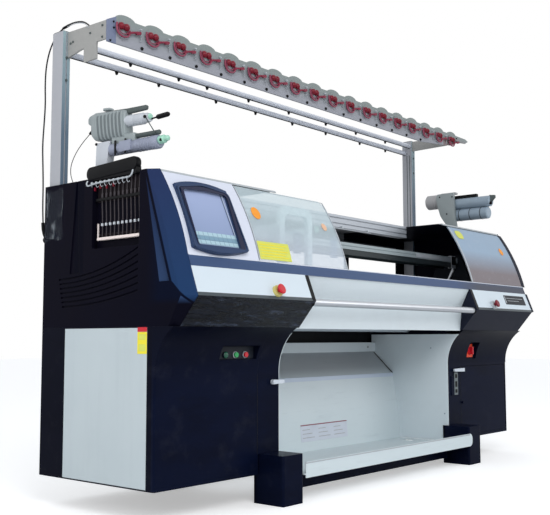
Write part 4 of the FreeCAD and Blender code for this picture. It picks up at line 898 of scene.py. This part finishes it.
class KNIT_OT_cables(bpy.types.Operator):
    """The cable behind the left post and the thin cable of the left feeder"""
    bl_idname = "knit.cables"
    bl_label = "Cables"

    def execute(self, context):
        post = [(-1712, 262, 2432), (-1712, 300, 2464), (-1711, 365, 2481), (-1710, 432, 2484),
                (-1709, 496, 2474), (-1708, 552, 2447), (-1711, 592, 2399), (-1718, 610, 2340),
                (-1727, 614, 2268), (-1733, 609, 2180), (-1731, 605, 2075), (-1734, 609, 1965),
                (-1738, 613, 1855), (-1736, 608, 1745), (-1733, 606, 1640), (-1731, 609, 1535),
                (-1730, 606, 1460), (-1731, 598, 1402), (-1732, 580, 1366), (-1732, 549, 1346)]
        thin = [(-1700, 262, 1868), (-1700, 300, 1846), (-1701, 345, 1812), (-1702, 384, 1772),
                (-1703, 409, 1728), (-1703, 413, 1688), (-1702, 402, 1652), (-1701, 384, 1620)]
        self.lead("post", post, context.scene.knit_stand.cable, 1.44)
        self.lead("feeder", thin, 0.004, 0.319)
        with piece("cable_plugs", "dark") as bm:
            drum(bm, at(-1732, 546, 1346), REARWARD, [(0, 24), (8, 24), (12, 19), (30, 17), (36, 9)])
            drum(bm, at(-1701, 384, 1618), UPWARD, [(0, 9), (4, 9), (7, 6), (12, 4)], 16)
            drum(bm, at(-1709, 440, 2480), (0, 1, -0.12), [(0, 5), (3, 7), (50, 7), (56, 5)], 14)
            tube(bm, bent([(-1730, 605, 1440)] + post[-3:]), 9, 14)
        with piece("post_top_wires", "silver") as bm:
            for drop, side in ((7, 0), (11, 7)):
                tube(bm, bent([(-1709 - side, 446, 2482 - drop), (-1711 - side, 365, 2480 - drop),
                               (-1712 - side, 300, 2463 - drop), (-1712 - side, 262, 2432 - drop)]), 1.6, 6)
        return {"FINISHED"}

    def lead(self, which, points, width, length):
        """One cable as a single open spline in place of its node."""
        curve = bpy.data.curves.new(which + "_lead", "CURVE")
        curve.dimensions = "3D"
        curve.bevel_depth = width / 2
        curve.bevel_resolution = 4
        curve.resolution_u = 10
        curve.use_fill_caps = True
        spline = curve.splines.new("NURBS")
        spline.points.add(len(points) - 1)
        for target, p in zip(spline.points, points):
            target.co = (*at(*p), 1)
        spline.order_u = 3
        spline.use_endpoint_u = True
        curve.materials.append(finish("rubber"))
        obj = add(which + "_lead", curve)
        settle(obj, "frame", "cable_rubber", which + "_cable")
        tuple(at(*points[0]))


class KNIT_OT_beam(bpy.types.Operator):
    """The humped tension beam with its row of tension units"""
    bl_idname = "knit.beam"
    bl_label = "Tension beam"

    def execute(self, context):
        s = context.scene.knit_stand
        outline = [at(-1717, BEAM_FACE, BEAM_LOW), at(-1717, BEAM_FACE, BEAM_TOP - 28)]
        steps, half_hump = 12, 62
        for i in range(s.units):
            middle = (s.first + i * s.pitch) * 1000
            for t in shares(steps):
                rise = s.hump * 1000 * math.sin(math.pi * t) ** 1.3
                outline.append(at(middle - half_hump * math.cos(math.pi * t), BEAM_FACE, BEAM_TOP + rise))
        outline += [at(END_FACE + out, BEAM_FACE, BEAM_LOW + up) for out, up in
                    ((245, 140), (289, 126), (244, 104), (110, 92), (20, 52), (-150, 30), (-311, 17), (-447, 4))]
        bm = bmesh.new()
        slab(bm, outline, mm(0, 12, 0), 0.002)
        settle(made("humped_beam", bm, finish("beam"), 0.5), "frame", "aluminium", "tension_beam")
        for name, shape, key, fewer in (
                ("discs", self.discs, "deep_red", 0), ("cups", self.cups, "beam", 0), ("loops", self.loops, "pink", 0),
                ("arms", self.arms, "arm_red", 0), ("springs", self.springs, "silver", 1),
                ("screws", self.screws, "dark", 3)):
            bm = bmesh.new()
            shape(bm)
            row("tension_" + name, bm, key, s.units - fewer, at(s.first * 1000, BEAM_FACE, BEAM_TOP), (s.pitch, 0, 0))
        with piece("beam_end_screws", "dark") as bm:
            for x, z in ((-1680, 2430), (-1679, 2399), (-1700, 2328), (1330, 2422), (1850, 2440)):
                stud(bm, at(x, BEAM_FACE + 1, z), FORWARD, 5, 5, 8, 3)
            for a, b in (((1660, 100, 2400), (1735, 96, 2411)), ((1790, 98, 2418), (1840, 96, 2412))):
                tube(bm, bent([a, tuple((p + q) / 2 + d for p, q, d in zip(a, b, (0, -6, -10))), b]), 2.2)
        return {"FINISHED"}

    def discs(self, bm):
        for x in (-40, -6):
            drum(bm, mm(x, -2, -47), FORWARD,
                 [(0, 9), (6, 18), (10, 19), (13, 13), (17, 19), (21, 17), (27, 8), (30, 4)], 18)

    def cups(self, bm):
        slab(bm, circle(mm(-22, -6, -52), mm(50, 0, 0), mm(0, 0, 40), 1, 28), mm(0, 6, 0), 0.002)

    def loops(self, bm):
        tube(bm, bent([(-66, -12, -34), (-69, -14, -60), (-58, -16, -88), (-32, -18, -101), (-4, -18, -96),
                       (14, -16, -78), (18, -12, -58)]), 5.5, 8, mm)
        tube(bm, bent([(-52, -14, -30), (-55, -15, -66), (-36, -16, -84), (-8, -16, -82), (4, -14, -66)]), 2.8, 6, mm)

    def arms(self, bm):
        tube(bm, bent([(2, -16, -82), (22, -18, -68), (52, -18, -60), (82, -16, -52)]), 6.2, 8, mm)
        slab(bm, rounded([mm(x, -22, z) for x, z in ((56, -70), (88, -62), (88, -46), (56, -52))], 0.004),
             mm(0, 10, 0), 0.001)

    def springs(self, bm):
        coil = [(96 + 4 * math.cos(t * 44), -8 + 4 * math.sin(t * 44), -35 - 62 * t) for t in shares(40)]
        tube(bm, coil, 1.5, 5, mm)
        stud(bm, mm(96, 0, -30), FORWARD, 6, 10, 14, 4, 12)

    def screws(self, bm):
        stud(bm, mm(109, 0, -126), FORWARD, 9, 5, 9, 6)


class KNIT_OT_stand(bpy.types.Operator):
    """Round yarn rails with black eyelets, arm screws and post caps"""
    bl_idname = "knit.stand"
    bl_label = "Yarn stand"

    def execute(self, context):
        self.rail("front", 462, 2401, (431, 806, 1046, 1429, 1841, 2263, 2639, 3040))
        self.rail("rear", 508, 2349, (370, 688, 1173, 1549, 1936, 2322, 2755, 3110))
        sides = (-1722.5, 1722.5)
        with piece("stand_screws", "feeder_dark") as bm:
            for y, z in ((412, 2372), (392, 2376), (250, 2391), (152, 2410), (152, 2350)):
                stud(bm, at(-1716.5, y, z), LEFTWARD, 6, 4, 6.5, 4)
            for x in sides:
                for z in (2300, 2180, 950):
                    stud(bm, at(x, 440.5, z), FORWARD, 7, 4, 7, 4.5)
        # dark strips for the posts' real T-slot grooves: their darkness is painted shade in the slots
        gather("post_grooves", "feeder_dark", brick,
               *((x, x + 1.8, y - 3, y + 3, 1625, 2325, 0.3) for x in (-1701, 1699.2) for y in (462, 486)))
        gather("post_caps", "dark", brick, *((x - 20, x + 20, 446, 524, 2441, 2446, 1.5) for x in sides))
        return {"FINISHED"}

    def rail(self, name, y, z, eyes):
        """One round rail, and its eyelets by their distance from the left post."""
        with piece(name + "_round_rail", "tube", "frame", name + "_yarn_tube") as bm:
            spool(bm, at(-POSTS, y, z), (1, 0, 0), 15.5, 17, 1.5, 2 * POSTS, 28)
        with piece(name + "_rail_eyelets", "dark") as bm:
            brick(bm, -1698, 1698, y - 5, y + 5, z - 19, z - 14, 0.8)
            for x in (eye - POSTS for eye in eyes):
                for dy in (-5, 5):
                    ring = [at(x + a, y + dy, z + b) for a, b in
                            ((-13, -14), (13, -14), (4, -36), (0, -38), (-4, -36))]
                    slab(bm, ring, mm(0, math.copysign(3, -dy), 0), 0.0005)
                spool(bm, at(x, y - 7, z - 30), REARWARD, 3, 5, 2, 14, 12)


class KNIT_OT_feeders(bpy.types.Operator):
    """The ribbed left feeder and the twin-tube right feeder on the roof"""
    bl_idname = "knit.feeders"
    bl_label = "Yarn feeders"

    def execute(self, context):
        self.left(-POSTS)
        self.right(POSTS)
        return {"FINISHED"}

    def left(self, x):
        with piece("left_feeder_ribs", "feeder", "frame", "left_feeder_body") as bm:
            loft(bm, x, [(-40, 24, 190, 314), (-36, 29, 184, 322), (20, 30, 186, 330), (196, 31, 201, 346),
                         (222, 24, 222, 338), (227, 18, 232, 330)])
            self.ribs(bm, x, 8, -30, ((0, 32, 183, 322), (2, 36, 179, 326), (9, 36, 179, 326), (11, 32, 183, 322)))
            loft(bm, x, [(198, 12, 292, 340), (206, 17, 284, 346), (250, 14, 290, 338), (264, 9, 298, 330)])
            loft(bm, x, [(-104, 16, 154, 196), (-96, 24, 150, 202), (56, 25, 158, 214), (66, 18, 164, 206)])
            loft(bm, x, [(90, 13, 344, 350), (96, 18, 342, 356), (136, 18, 345, 360), (142, 13, 346, 352)])
        with piece("left_feeder_rails", "feeder_dark") as bm:
            loft(bm, x, [(-176, 6, 306, 322), (-168, 10, 302, 326), (-38, 12, 303, 331), (60, 12, 318, 338)])
            stud(bm, on_roof(x, -30, 187), (0, -1, -0.03), 12, 232, 236, 9, 20)
            drum(bm, on_roof(x - 24, -186, 262), (0.05, -0.6, -0.8), [(0, 2.6), (110, 2.6)], 8)
        with piece("left_feeder_grooves", "feeder_mid") as bm:
            self.ribs(bm, x, 7, -19, ((1, 33, 182, 323), (16, 33, 182, 323)))
        with piece("left_feeder_barrels", "feeder_pale") as bm:
            drum(bm, on_roof(x, -30, 268), (0, -1, -0.04), [(0, 22), (6, 28), (60, 28), (64, 25), (70, 28), (120, 28),
                                                            (124, 24), (150, 24), (165, 20)], 28)
            foot = [on_roof(x - 22, y, up) for y, up in ((74, 186), (180, 186), (190, 0), (115, 0))]
            slab(bm, foot, mm(44, 0, 0), 0.005)
            brick(bm, x - 27, x + 27, 104, 200, ROOF, ROOF + 9, 2)
        with piece("left_feeder_lower_barrel", "lilac") as bm:
            drum(bm, on_roof(x, 82, 141), (0, -1, -0.02), [(0, 22), (6, 31), (150, 31), (153, 28), (158, 31), (300, 31),
                                                           (304, 33), (340, 33), (350, 27)], 30)
            for y in range(-120, -252, -22):
                spool(bm, on_roof(x, y, 141 + (y - 82) * 0.02), (0, -1, -0.02), 31, 32.4, 1, 5, 30)
            brick(bm, x - 34, x - 24, -92, -8, ROOF + 114, ROOF + 166, 2)
        with piece("left_feeder_tip", "mint") as bm:
            drum(bm, on_roof(x, -264, 141), (0, -1, 0.04),
                 [(0, 15), (4, 20), (34, 20), (40, 13), (58, 13), (62, 8), (66, 4)], 22)
            drum(bm, on_roof(x, -196, 266), FORWARD, [(-4, 14), (2, 14), (6, 9)], 18)
        with piece("left_feeder_grip", "dark") as bm:
            drum(bm, on_roof(x + 8, -190, 256), (0, -1, 0.03),
                 [(0, 4), (44, 4), (46, 9), (52, 12), (118, 12), (126, 9), (129, 5)], 18)
            stud(bm, on_roof(x - 14, -290, 136), LEFTWARD, 7, 7, 9, 4)
            stud(bm, on_roof(x - 22, 178, 180), LEFTWARD, 7, 4, 7, 4)
            stud(bm, on_roof(x - 12, -182, 262), (-1, -0.2, 0), 8, 16, 18, 5)
            drum(bm, on_roof(x, 262, 249), (0, -0.85, 0.5), [(0, 5), (3, 7), (24, 7), (40, 9)], 14)
            for y in (-60, 16):
                brick(bm, x - 33, x - 30, y, y + 12, ROOF + 104, ROOF + 176, 1)

    def ribs(self, bm, x, count, first, stations):
        """Leaning ribs or grooves, each a little higher than the one before it."""
        pitch, climb = 28, 0.073
        for y in range(first, first + count * pitch, pitch):
            up = (y + 38) * climb
            loft(bm, x, [(y + dy, half, low + up, high + up) for dy, half, low, high in stations], lean=0.12)

    def right(self, x):
        with piece("right_feeder_tubes", "cool", "frame", "right_feeder_body") as bm:
            drum(bm, on_roof(x, 70, 258), FORWARD, [(0, 36), (5, 42), (318, 42), (325, 34)], 32)
            drum(bm, on_roof(x, 60, 170), FORWARD, [(0, 40), (5, 46), (288, 46), (295, 36)], 32)
            loft(bm, x, [(50, 40, 156, 324), (60, 46, 150, 331), (150, 46, 200, 344), (172, 38, 226, 340)])
        with piece("right_feeder_motor", "motor") as bm:
            drum(bm, on_roof(x, 165, 293), REARWARD, [(0, 50), (5, 57), (40, 57), (43, 54), (47, 57), (120, 57),
                                                      (127, 50), (130, 34)], 36)
            brick(bm, x - 20, x + 20, 40, 162, ROOF + 338, ROOF + 354, 3)
        with piece("right_feeder_bracket", "feeder") as bm:
            profile = [(30, 344), (176, 342), (184, 306), (172, 243), (146, 162), (100, 97), (60, 0), (0, 0), (10, 91),
                       (19, 132)]
            slab(bm, rounded([on_roof(x - 70, y, up) for y, up in profile], 0.014, 3), mm(24, 0, 0), 0.003)
            brick(bm, x - 74, x - 10, -4, 66, ROOF, ROOF + 8, 2)
            brick(bm, x - 6, x + 6, -232, 60, ROOF + 206, ROOF + 220, 2)
        with piece("right_feeder_strip", "dark") as bm:
            brick(bm, x - 15, x + 15, -139, 100, ROOF + 298, ROOF + 324, 4)
            stud(bm, on_roof(x - 18, -252, 238), FORWARD, 12, 14, 18, 7, 16)
            for y, up in ((40, 310), (150, 318), (90, 180), (60, 60)):
                stud(bm, on_roof(x - 69, y, up), LEFTWARD, 6, 3, 5, 4, 12)
            for y in (-180, -90, 0):
                collar(bm, on_roof(x, y, 170), REARWARD, 44, 47.5, 5)
        gather("right_feeder_tip", "feeder_dark", loft,
               (x, [(-290, 5, 276, 296), (-284, 8, 272, 300), (-258, 18, 248, 302), (-248, 20, 240, 304)]))


class KNIT_OT_tensioner(bpy.types.Operator):
    """The row of yarn tensioners in the pocket of the left end"""
    bl_idname = "knit.tensioner"
    bl_label = "Side tensioner"

    def execute(self, context):
        face = COMB_FACE
        with piece("tensioner_bar", "dark", "frame", "left_side_tensioner") as bm:
            outline = frame_outline(-172, 203, 1606, 1672, 30, 6)
            slab(bm, [at(-1764, y, z + 14 - 0.045 * y) for y, z in outline], mm(36, 0, 0), 0.008)
            brick(bm, -1757, face, -166, 198, 1608, 1646, 3)
        gather("tensioner_comb", "brown", brick, (face - 6, face, -183, 146, 1500, 1616, 1),
               (face - 5, face, -186, 150, 1332, 1344, 1))
        arm = bmesh.new()
        tube(arm, bent([(-9, 0, 292), (-13, 1, 200), (-11, -1, 90), (-10, 0, 0)]), 3.2, 6, mm)
        spool(arm, mm(-12, 0, 200), UPWARD, 4, 6, 3, 25, 10)
        eyelet = bmesh.new()
        spool(eyelet, mm(-12, 0, 0), UPWARD, 5, 6.5, 2, 14, 12)
        step = (0, 0.0303, 0)
        row("tensioner_arms", arm, "soft_dark", 10, at(face, -170, 1318), step, (0.01, 0, 0))
        row("tensioner_eyelets", eyelet, "feeder_pale", 10, at(face, -170, 1380), step)
        gather("tensioner_band", "dark", brick, (face - 19, face - 15, -183, 146, 1505, 1518, 1))
        gather("tensioner_tray", "ivory", brick, (face - 28, face, -192, 122, 1309, 1323, 2),
               (face - 26, face - 20, 116, 122, 1322, 1392, 2))
        with piece("tensioner_hook_wire", "silver") as bm:
            x = -1760
            tube(bm, bent([(x + 4, -142, 1640), (x, -140, 1612), (x, -118, 1597), (x, -60, 1596), (x, 40, 1594),
                           (x, 130, 1592), (x, 190, 1586), (x, 202, 1598), (x + 3, 196, 1612)]), 4.2)
            for y in range(-104, 193, 33):
                tube(bm, bent([(x, y, 1596), (x + 2, y + 3, 1582), (x + 8, y, 1574), (x + 14, y - 2, 1580)]), 2.0, 6)
                spool(bm, at(x, y - 6, 1595), REARWARD, 5, 6.5, 2, 11, 12)
        gather("tensioner_red_catches", "deep_red", brick,
               *((-1752, -1744, y - 4, y + 4, z - 9, z + 9, 2)
                 for y, z in ((150, 1566), (108, 1574), (60, 1570), (8, 1574))))
        return {"FINISHED"}


class KNIT_OT_front(bpy.types.Operator):
    """Screen surround, stop button collars, plates, stickers and cover edges on the slanted front"""
    bl_idname = "knit.front"
    bl_label = "Slanted front"

    def execute(self, context):
        # partly the screen's dark frame, partly a painted shadow under the bezel's top edge
        gather("screen_surround", "reveal", border,
               ([(-1666, 1541), (-1506, 1554), (-1350, 1540), (-1340, 1250), (-1380, 1243), (-1662, 1243)],
                [(-1652, 1526), (-1506, 1532), (-1360, 1527), (-1377, 1251), (-1384, 1250), (-1656, 1252)], 17.5, 19.5))
        gather("bezel_rim", "bezel", border,
               ([(-1687, 1537), (-1508, 1566), (-1338, 1543), (-1323, 1243), (-1528, 1217), (-1690, 1240)],
                [(-1680, 1531), (-1508, 1559), (-1345, 1537), (-1331, 1249), (-1528, 1224), (-1683, 1246)], 17, 21))
        for side, key, x, z, outer in (("left", "yellow", -1168, 1060, 29.4), ("right", "silver", 1129, 1057, 30)):
            foot = on_strip(x, z)
            gather(side + "_stop_collar", key, collar, (foot, on_strip(x, z, 1) - foot, 12, outer, 14.6))
        plates(on_strip, ("maker_plate_blank", "label_grey", 0.2, 2.0, (1342, 1660, 1070, 1134, 4)),
               ("maker_plate_lines", "silver", 2.3, 0.3, (1372, 1630, 1112, 1115, 1), (1380, 1560, 1094, 1097, 1),
                (1347, 1357, 1078, 1126, 2)))
        for name, key, near, far, low, high in (("strip_edges", "cast", 897, 901, 1030, 1155),
                                                ("cheek_edges", "dark", 872, 896, 1026, 1154)):
            gather(name, key, patch, *((on_strip, square(s * near, s * far, low, high), 0.1, 0.8) for s in (-1, 1)))
        gather("rod_ends", "dark", drum,
               *((at(s * 882, -515, 1017), (-s, 0, 0), [(0, 25), (6, 25), (9, 22.5), (14, 22.5)], 28) for s in (-1, 1)))
        self.left_cover("left_cover")
        with piece("right_end_rim", "under") as bm:
            bowed(bm, 1719, 1753, 1209, 1606, -14, 15)
            patch(bm, on_strip, square(1721, 1753, 1026, 1156), -12, 12.6)
        self.right_cover("right_cover")
        gather("belt_pale_lip", "paper", brick, (-1718, 1718, -482.4, -479.6, 1206, 1210.5, 0.6))
        return {"FINISHED"}

    # a strip along a cover's edge: trim, except on the right cover's left edge, where it is a painted highlight
    def trim(self, bm, x0, x1):
        bowed(bm, x0, x1, COVER_LOW, COVER_HIGH, EDGE_OFF, EDGE_THICK)

    def top_trim(self, bm, x0, x1):
        brick(bm, x0, x1, -299, -295.4, 1596, 1600, 0.8)

    def dot(self, name, key, body, x, z, radius):
        gather(name, key, patch, (on_front, disc_outline(x, z, radius), 1.2, 0.6), body=body)

    def left_cover(self, body):
        """Edge trim and stickers that slide with the left cover."""
        with piece("left_cover_edges", "silver", body) as bm:
            self.trim(bm, -1236, -1231)
            self.trim(bm, -504, -499)
            self.top_trim(bm, -1232, -502)
        self.dot("left_cover_stickers", "label_orange", body, -1156, 1462, 32)
        self.dot("left_cover_pale_dot", "label_peach", body, -599, 1443, 21)
        gather("left_cover_label", "label_lime", bowed, (-1225, -982, 1220, 1312, 1.0, 0.7), body=body)
        gather("left_cover_label_lines", "label_yellow", bowed,
               *((-1210, -1000 - 26 * (k % 2), 1234 + 15 * k, 1239 + 15 * k, 1.8, 0.3, 2) for k in range(5)), body=body)

    def right_cover(self, body):
        """Edge trim on the far edges, a silver strip on the left edge that is a painted highlight, and stickers, all
        sliding with the right cover.
        """
        # painted highlight: a silver strip along the left edge of the right cover
        gather("right_cover_edges", "silver", self.trim, (935, 949), body=body)
        with piece("right_cover_far_edges", "under", body) as bm:
            self.trim(bm, 1705, 1717)
            self.top_trim(bm, 950, 1712)
        self.dot("right_cover_dot", "label_orange", body, 1580, 1467, 26)
        plates(on_front, ("right_cover_round", "label_lime", 1.2, 0.6, (992, 1088, 1522, 1580, 27)), body=body)


class KNIT_OT_inside(bpy.types.Operator):
    """Needles, latch bars, carriage fittings and the parts seen behind the covers"""
    bl_idname = "knit.inside"
    bl_label = "Knitting works"

    def execute(self, context):
        for side, name in ((-1, "front"), (1, "rear")):
            needle = bmesh.new()
            tube(needle, [(0, 16 * side, 1232), (0, 154 * side, 1156)], 1.2, 4, mm)
            hook = [(0, y * side, z) for y, z in ((16, 1232), (10, 1236), (12, 1240), (18, 1238))]
            tube(needle, hook, 0.9, 4, mm)
            row(name + "_needles", needle, "steel", 291, at(-870, 0, 0), (0.006, 0, 0), smooth=0)
        gather("roof_rear_lip", "roof", brick, (-884, 1600, 543, 549, 1492, 1562, 1))
        with piece("beam_rod", "silver") as bm:
            spool(bm, at(-240, -8, 1531), (1, 0, 0), 3, 3.6, 1, 668, 14)
            for x in (-200, 100, 390):
                brick(bm, x, x + 14, -12.5, 0.5, 1529, 1548, 1)
        gather("light_rail", "silver", brick, (905, 1480, -69, -66.5, 1402, 1430, 0.8))
        with piece("carrier_block", "dark", "carrier") as bm:
            brick(bm, 1400, 1454, -78, -72, 1378, 1440, 3)
            tube(bm, bent([(1427, -60, 1300), (1426, -40, 1262), (1427, -14, 1236)]), 3)
        carriage = "knitting_carriage"
        gather("carriage_side_plates", "belt", brick,
               *((x - 30, x + 30, -256, -250, 1300, 1420, 4) for x in (-662, -318)), body=carriage)
        gather("carriage_screws", "dark", stud,
               *((at(x, -256, z), FORWARD, 5, 4, 6, 3, 12) for x in (-680, -644, -336, -300) for z in (1312, 1408)),
               body=carriage)
        gather("carriage_lamp", "mint", drum,
               (at(-490, -254, 1452), FORWARD, [(0, 20), (6, 20), (9, 15), (12, 8)]), body=carriage)
        return {"FINISHED"}


class KNIT_OT_cabinets(bpy.types.Operator):
    """Screws, lamps, hinges, plates and plain labels of the cabinets and the cloth bay"""
    bl_idname = "knit.cabinets"
    bl_label = "Cabinets"

    def execute(self, context):
        plates(on_left, ("side_label", "label_yellow", 0.1, 0.6, (-256, -191, 762, 862, 4)),
               ("side_label_head", "red", 0.1, 0.6, (-256, -191, 863, 884, 3)),
               ("side_label_print", "label_lime", 0.8, 0.2, (-247, -200, 826, 852, 3), (-247, -200, 774, 806, 3)))
        gather("side_panel_film", "loose", patch,
               (on_left, bent([(390, 1352), (430, 1334), (492, 1344), (545, 1332), (540, 1420), (548, 1512),
                               (541, 1598), (470, 1588), (404, 1600), (398, 1508), (406, 1430)], 3), 0.3, 0.4))
        gather("service_panel_seam", "label_grey", patch,
               *((on_left, square(*four), -2, 2.4) for four in
                 ((-260, -257, 150, 883), (356, 359, 150, 883), (-258, 357, 150, 153))))
        self.fronts()
        self.bay()
        return {"FINISHED"}

    def fronts(self):
        """What the two cabinets carry on their fronts."""
        plates(on_flat, ("button_plate", "label_grey", 0.1, 1.5, (-1345, -1080, 731, 793, 8)))
        gather("start_lamp_ring", "silver", collar,
               *((on_flat(x, 751, 1.5), FORWARD, 13.6, 17, 4) for x in (-1217, -1145)))
        gather("unlit_lamp", "dim_green", drum, (at(-1289, -301, 751), FORWARD, [(0, 16), (8, 16), (11, 13), (13, 8)]))
        plates(on_flat, ("rotary_plate", "orange", 0.2, 1.6, (1172, 1258, 700, 792, 8)))
        plates(on_cabinet, ("port_plate", "feeder_mid", 3.4, 2, (966, 1016, 448, 600, 6)),
               ("port_plate_sockets", "dark", 5.4, 1.5, (978, 1004, 562, 588, 4), (978, 1004, 502, 540, 4),
                (978, 1004, 462, 486, 4)))
        plates(on_flat, ("door_gap_line", "dark", 10.2, 0.4, (-1061.5, -1058.5, 250, 640, 1),
                         (1058.5, 1061.5, 250, 640, 1)))
        gather("door_hinges", "dark", spool, *((at(1746, -304, z), UPWARD, 5.5, 7, 2, 44, 16) for z in (208, 553)))

    def bay(self):
        """Screws, label and trim of the cloth bay between the cabinets, and a black plate at its back as painted shade.
        """
        with piece("inner_panel_screws", "cool") as bm:
            for y, z in ((-183, 766), (-282, 326)):
                for s in (-1, 1):
                    drum(bm, at(s * (INNER_FACE + 0.3), y, z), (-s, 0, 0), [(0, 5), (1.5, 5), (3, 3.1)], 14)
        plates(on_chute, ("chute_label_head", "rose", 0.8, 0.4, (-215, 262, 300, 306, 2)),
               ("chute_label_field", "paper", 0.3, 0.4, (-217, 264, 204, 299, 3)),
               ("chute_label_rows", "motor", 0.8, 0.2, *((x, x + 118 - 22 * k, 226 + 24 * k, 229 + 24 * k, 1)
                                                         for k in range(3) for x in (-200, -40, 118))))
        # painted shade: a black plate at the back of the bay, where the shaded interior shows above the cloth bar
        gather("bay_rear_guard", "dark", brick, (-884, 884, 312, 318, 800, 1010, 2))
        gather("chute_end_line", "dark", tube, ([(879, 282, 735), (879, 126, 592)], 2.5))
        gather("tray_lip_line", "silver", brick, (-872, 872, -477, -475, 196, 203, 0.6))
        gather("cloth_bar_screws", "silver", stud, *((at(x, 275.4, 772), FORWARD, 7, 4, 7, 4) for x in (-793, 793)))


class KNIT_OT_stage(bpy.types.Operator):
    """Pale floor, soft studio light and the camera at the photograph's angle"""
    bl_idname = "knit.stage"
    bl_label = "Studio"

    def execute(self, context):
        bm = bmesh.new()
        slab(bm, [Vector((x, y, -0.02)) for x, y in square(-30, 30, -30, 30)], Vector((0, 0, 0.02)))
        made("studio_floor", bm, self.floor_paint(), 0)
        self.sky(context)
        self.lamp("key", at(-3600, -4200, 4200), 3.2, 140)
        self.lamp("side", at(-6000, 600, 2600), 3.0, 60)
        self.lamp("right", at(3800, -4200, 2600), 3.0, 50)
        self.lens(context)
        return {"FINISHED"}

    def sky(self, context):
        """Soft light on the machine; white for the camera and for what glass and metal reflect."""
        world = context.scene.world or bpy.data.worlds.new("studio")
        context.scene.world = world
        world.use_nodes = True
        world.node_tree.nodes.clear()
        t = Tree(world.node_tree)
        soft = t.node("ShaderNodeBackground", Color=(0.93, 0.96, 1.0, 1), Strength=context.scene.knit_light.studio)
        plain = t.node("ShaderNodeBackground", Color=(1, 1, 1, 1), Strength=1.0)
        ray = t.node("ShaderNodeLightPath").outputs
        seen = t.math("MAXIMUM", ray["Is Camera Ray"], ray["Is Glossy Ray"])
        seen = t.math("MAXIMUM", seen, ray["Is Transmission Ray"])
        mix = t.node("ShaderNodeMixShader")
        for socket, value in zip(mix.inputs, (seen, soft.outputs[0], plain.outputs[0])):
            t.feed(socket, value)
        t.node("ShaderNodeOutputWorld", Surface=mix.outputs[0])

    def floor_paint(self):
        p = Paint("pale_floor", Base_Color=(0.86, 0.87, 0.88, 1), Roughness=0.8, Specular_IOR_Level=0.2)
        seen = Flow(p, p.node("ShaderNodeLightPath").outputs["Is Camera Ray"])
        glow = p.node("ShaderNodeEmission", Color=(1, 1, 1, 1), Strength=seen * 0.42)
        both = p.node("ShaderNodeAddShader")
        for socket, value in zip(both.inputs, (p.surface.outputs[0], glow.outputs[0])):
            p.feed(socket, value)
        out = next(n for n in p.tree.nodes if n.type == "OUTPUT_MATERIAL")
        p.feed(out.inputs["Surface"], both.outputs[0])
        return p.material

    def lamp(self, name, place, size, power):
        light = bpy.data.lights.new(name, "AREA")
        light.shape = "DISK"
        light.size = size
        light.energy = power
        obj = add(name, light)
        obj.location = place
        obj.rotation_euler = (at(0, 0, 1100) - place).to_track_quat("-Z", "Y").to_euler()

    def lens(self, context):
        """The camera as it was solved from the photograph's vanishing points."""
        data = bpy.data.cameras.new("camera")
        data.sensor_width = 36
        data.lens = 58.02
        data.clip_end = 100
        camera = add("camera", data)
        yaw, pitch, roll = math.radians(40.284), math.radians(5.259), math.radians(-0.087)
        ahead = Vector((math.cos(yaw) * math.cos(pitch), math.sin(yaw) * math.cos(pitch), math.sin(pitch)))
        right = Vector((math.sin(yaw), -math.cos(yaw), 0))
        up = right.cross(ahead)
        r = right * math.cos(roll) + up * math.sin(roll)
        u = up * math.cos(roll) - right * math.sin(roll)
        turn = Matrix((r, u, -ahead)).transposed()
        camera.matrix_world = Matrix.Translation(at(-4475.95, -3325.67, 828.70)) @ turn.to_4x4()
        context.scene.camera = camera
        context.scene.view_settings.view_transform = "Standard"


class KNIT_PT_panel(bpy.types.Panel):
    """Lists the steps that dress the machine"""
    bl_idname = "KNIT_PT_panel"
    bl_label = "Knitting machine"
    bl_space_type = "VIEW_3D"
    bl_region_type = "UI"
    bl_category = "Knitting"

    def draw(self, context):
        for step in STEPS:
            self.layout.operator(step.bl_idname)
        for name in ("units", "pitch", "first", "hump", "cable"):
            self.layout.prop(context.scene.knit_stand, name)
        self.layout.prop(context.scene.knit_light, "studio")


STEPS = (KNIT_OT_stage, KNIT_OT_paint, KNIT_OT_cables, KNIT_OT_beam, KNIT_OT_stand, KNIT_OT_feeders,
         KNIT_OT_tensioner, KNIT_OT_front, KNIT_OT_inside, KNIT_OT_cabinets)
CLASSES = (KnitStandSizes, KnitLight) + STEPS + (KNIT_PT_panel,)


def register():
    for cls in CLASSES:
        bpy.utils.register_class(cls)
    bpy.types.Scene.knit_stand = bpy.props.PointerProperty(type=KnitStandSizes)
    bpy.types.Scene.knit_light = bpy.props.PointerProperty(type=KnitLight)


def unregister():
    del bpy.types.Scene.knit_light
    del bpy.types.Scene.knit_stand
    for cls in reversed(CLASSES):
        bpy.utils.unregister_class(cls)


def main():
    register()
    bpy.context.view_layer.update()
    for step in STEPS:
        group, name = step.bl_idname.split(".")
        getattr(getattr(bpy.ops, group), name)()


if __name__ == "__main__":
    main()
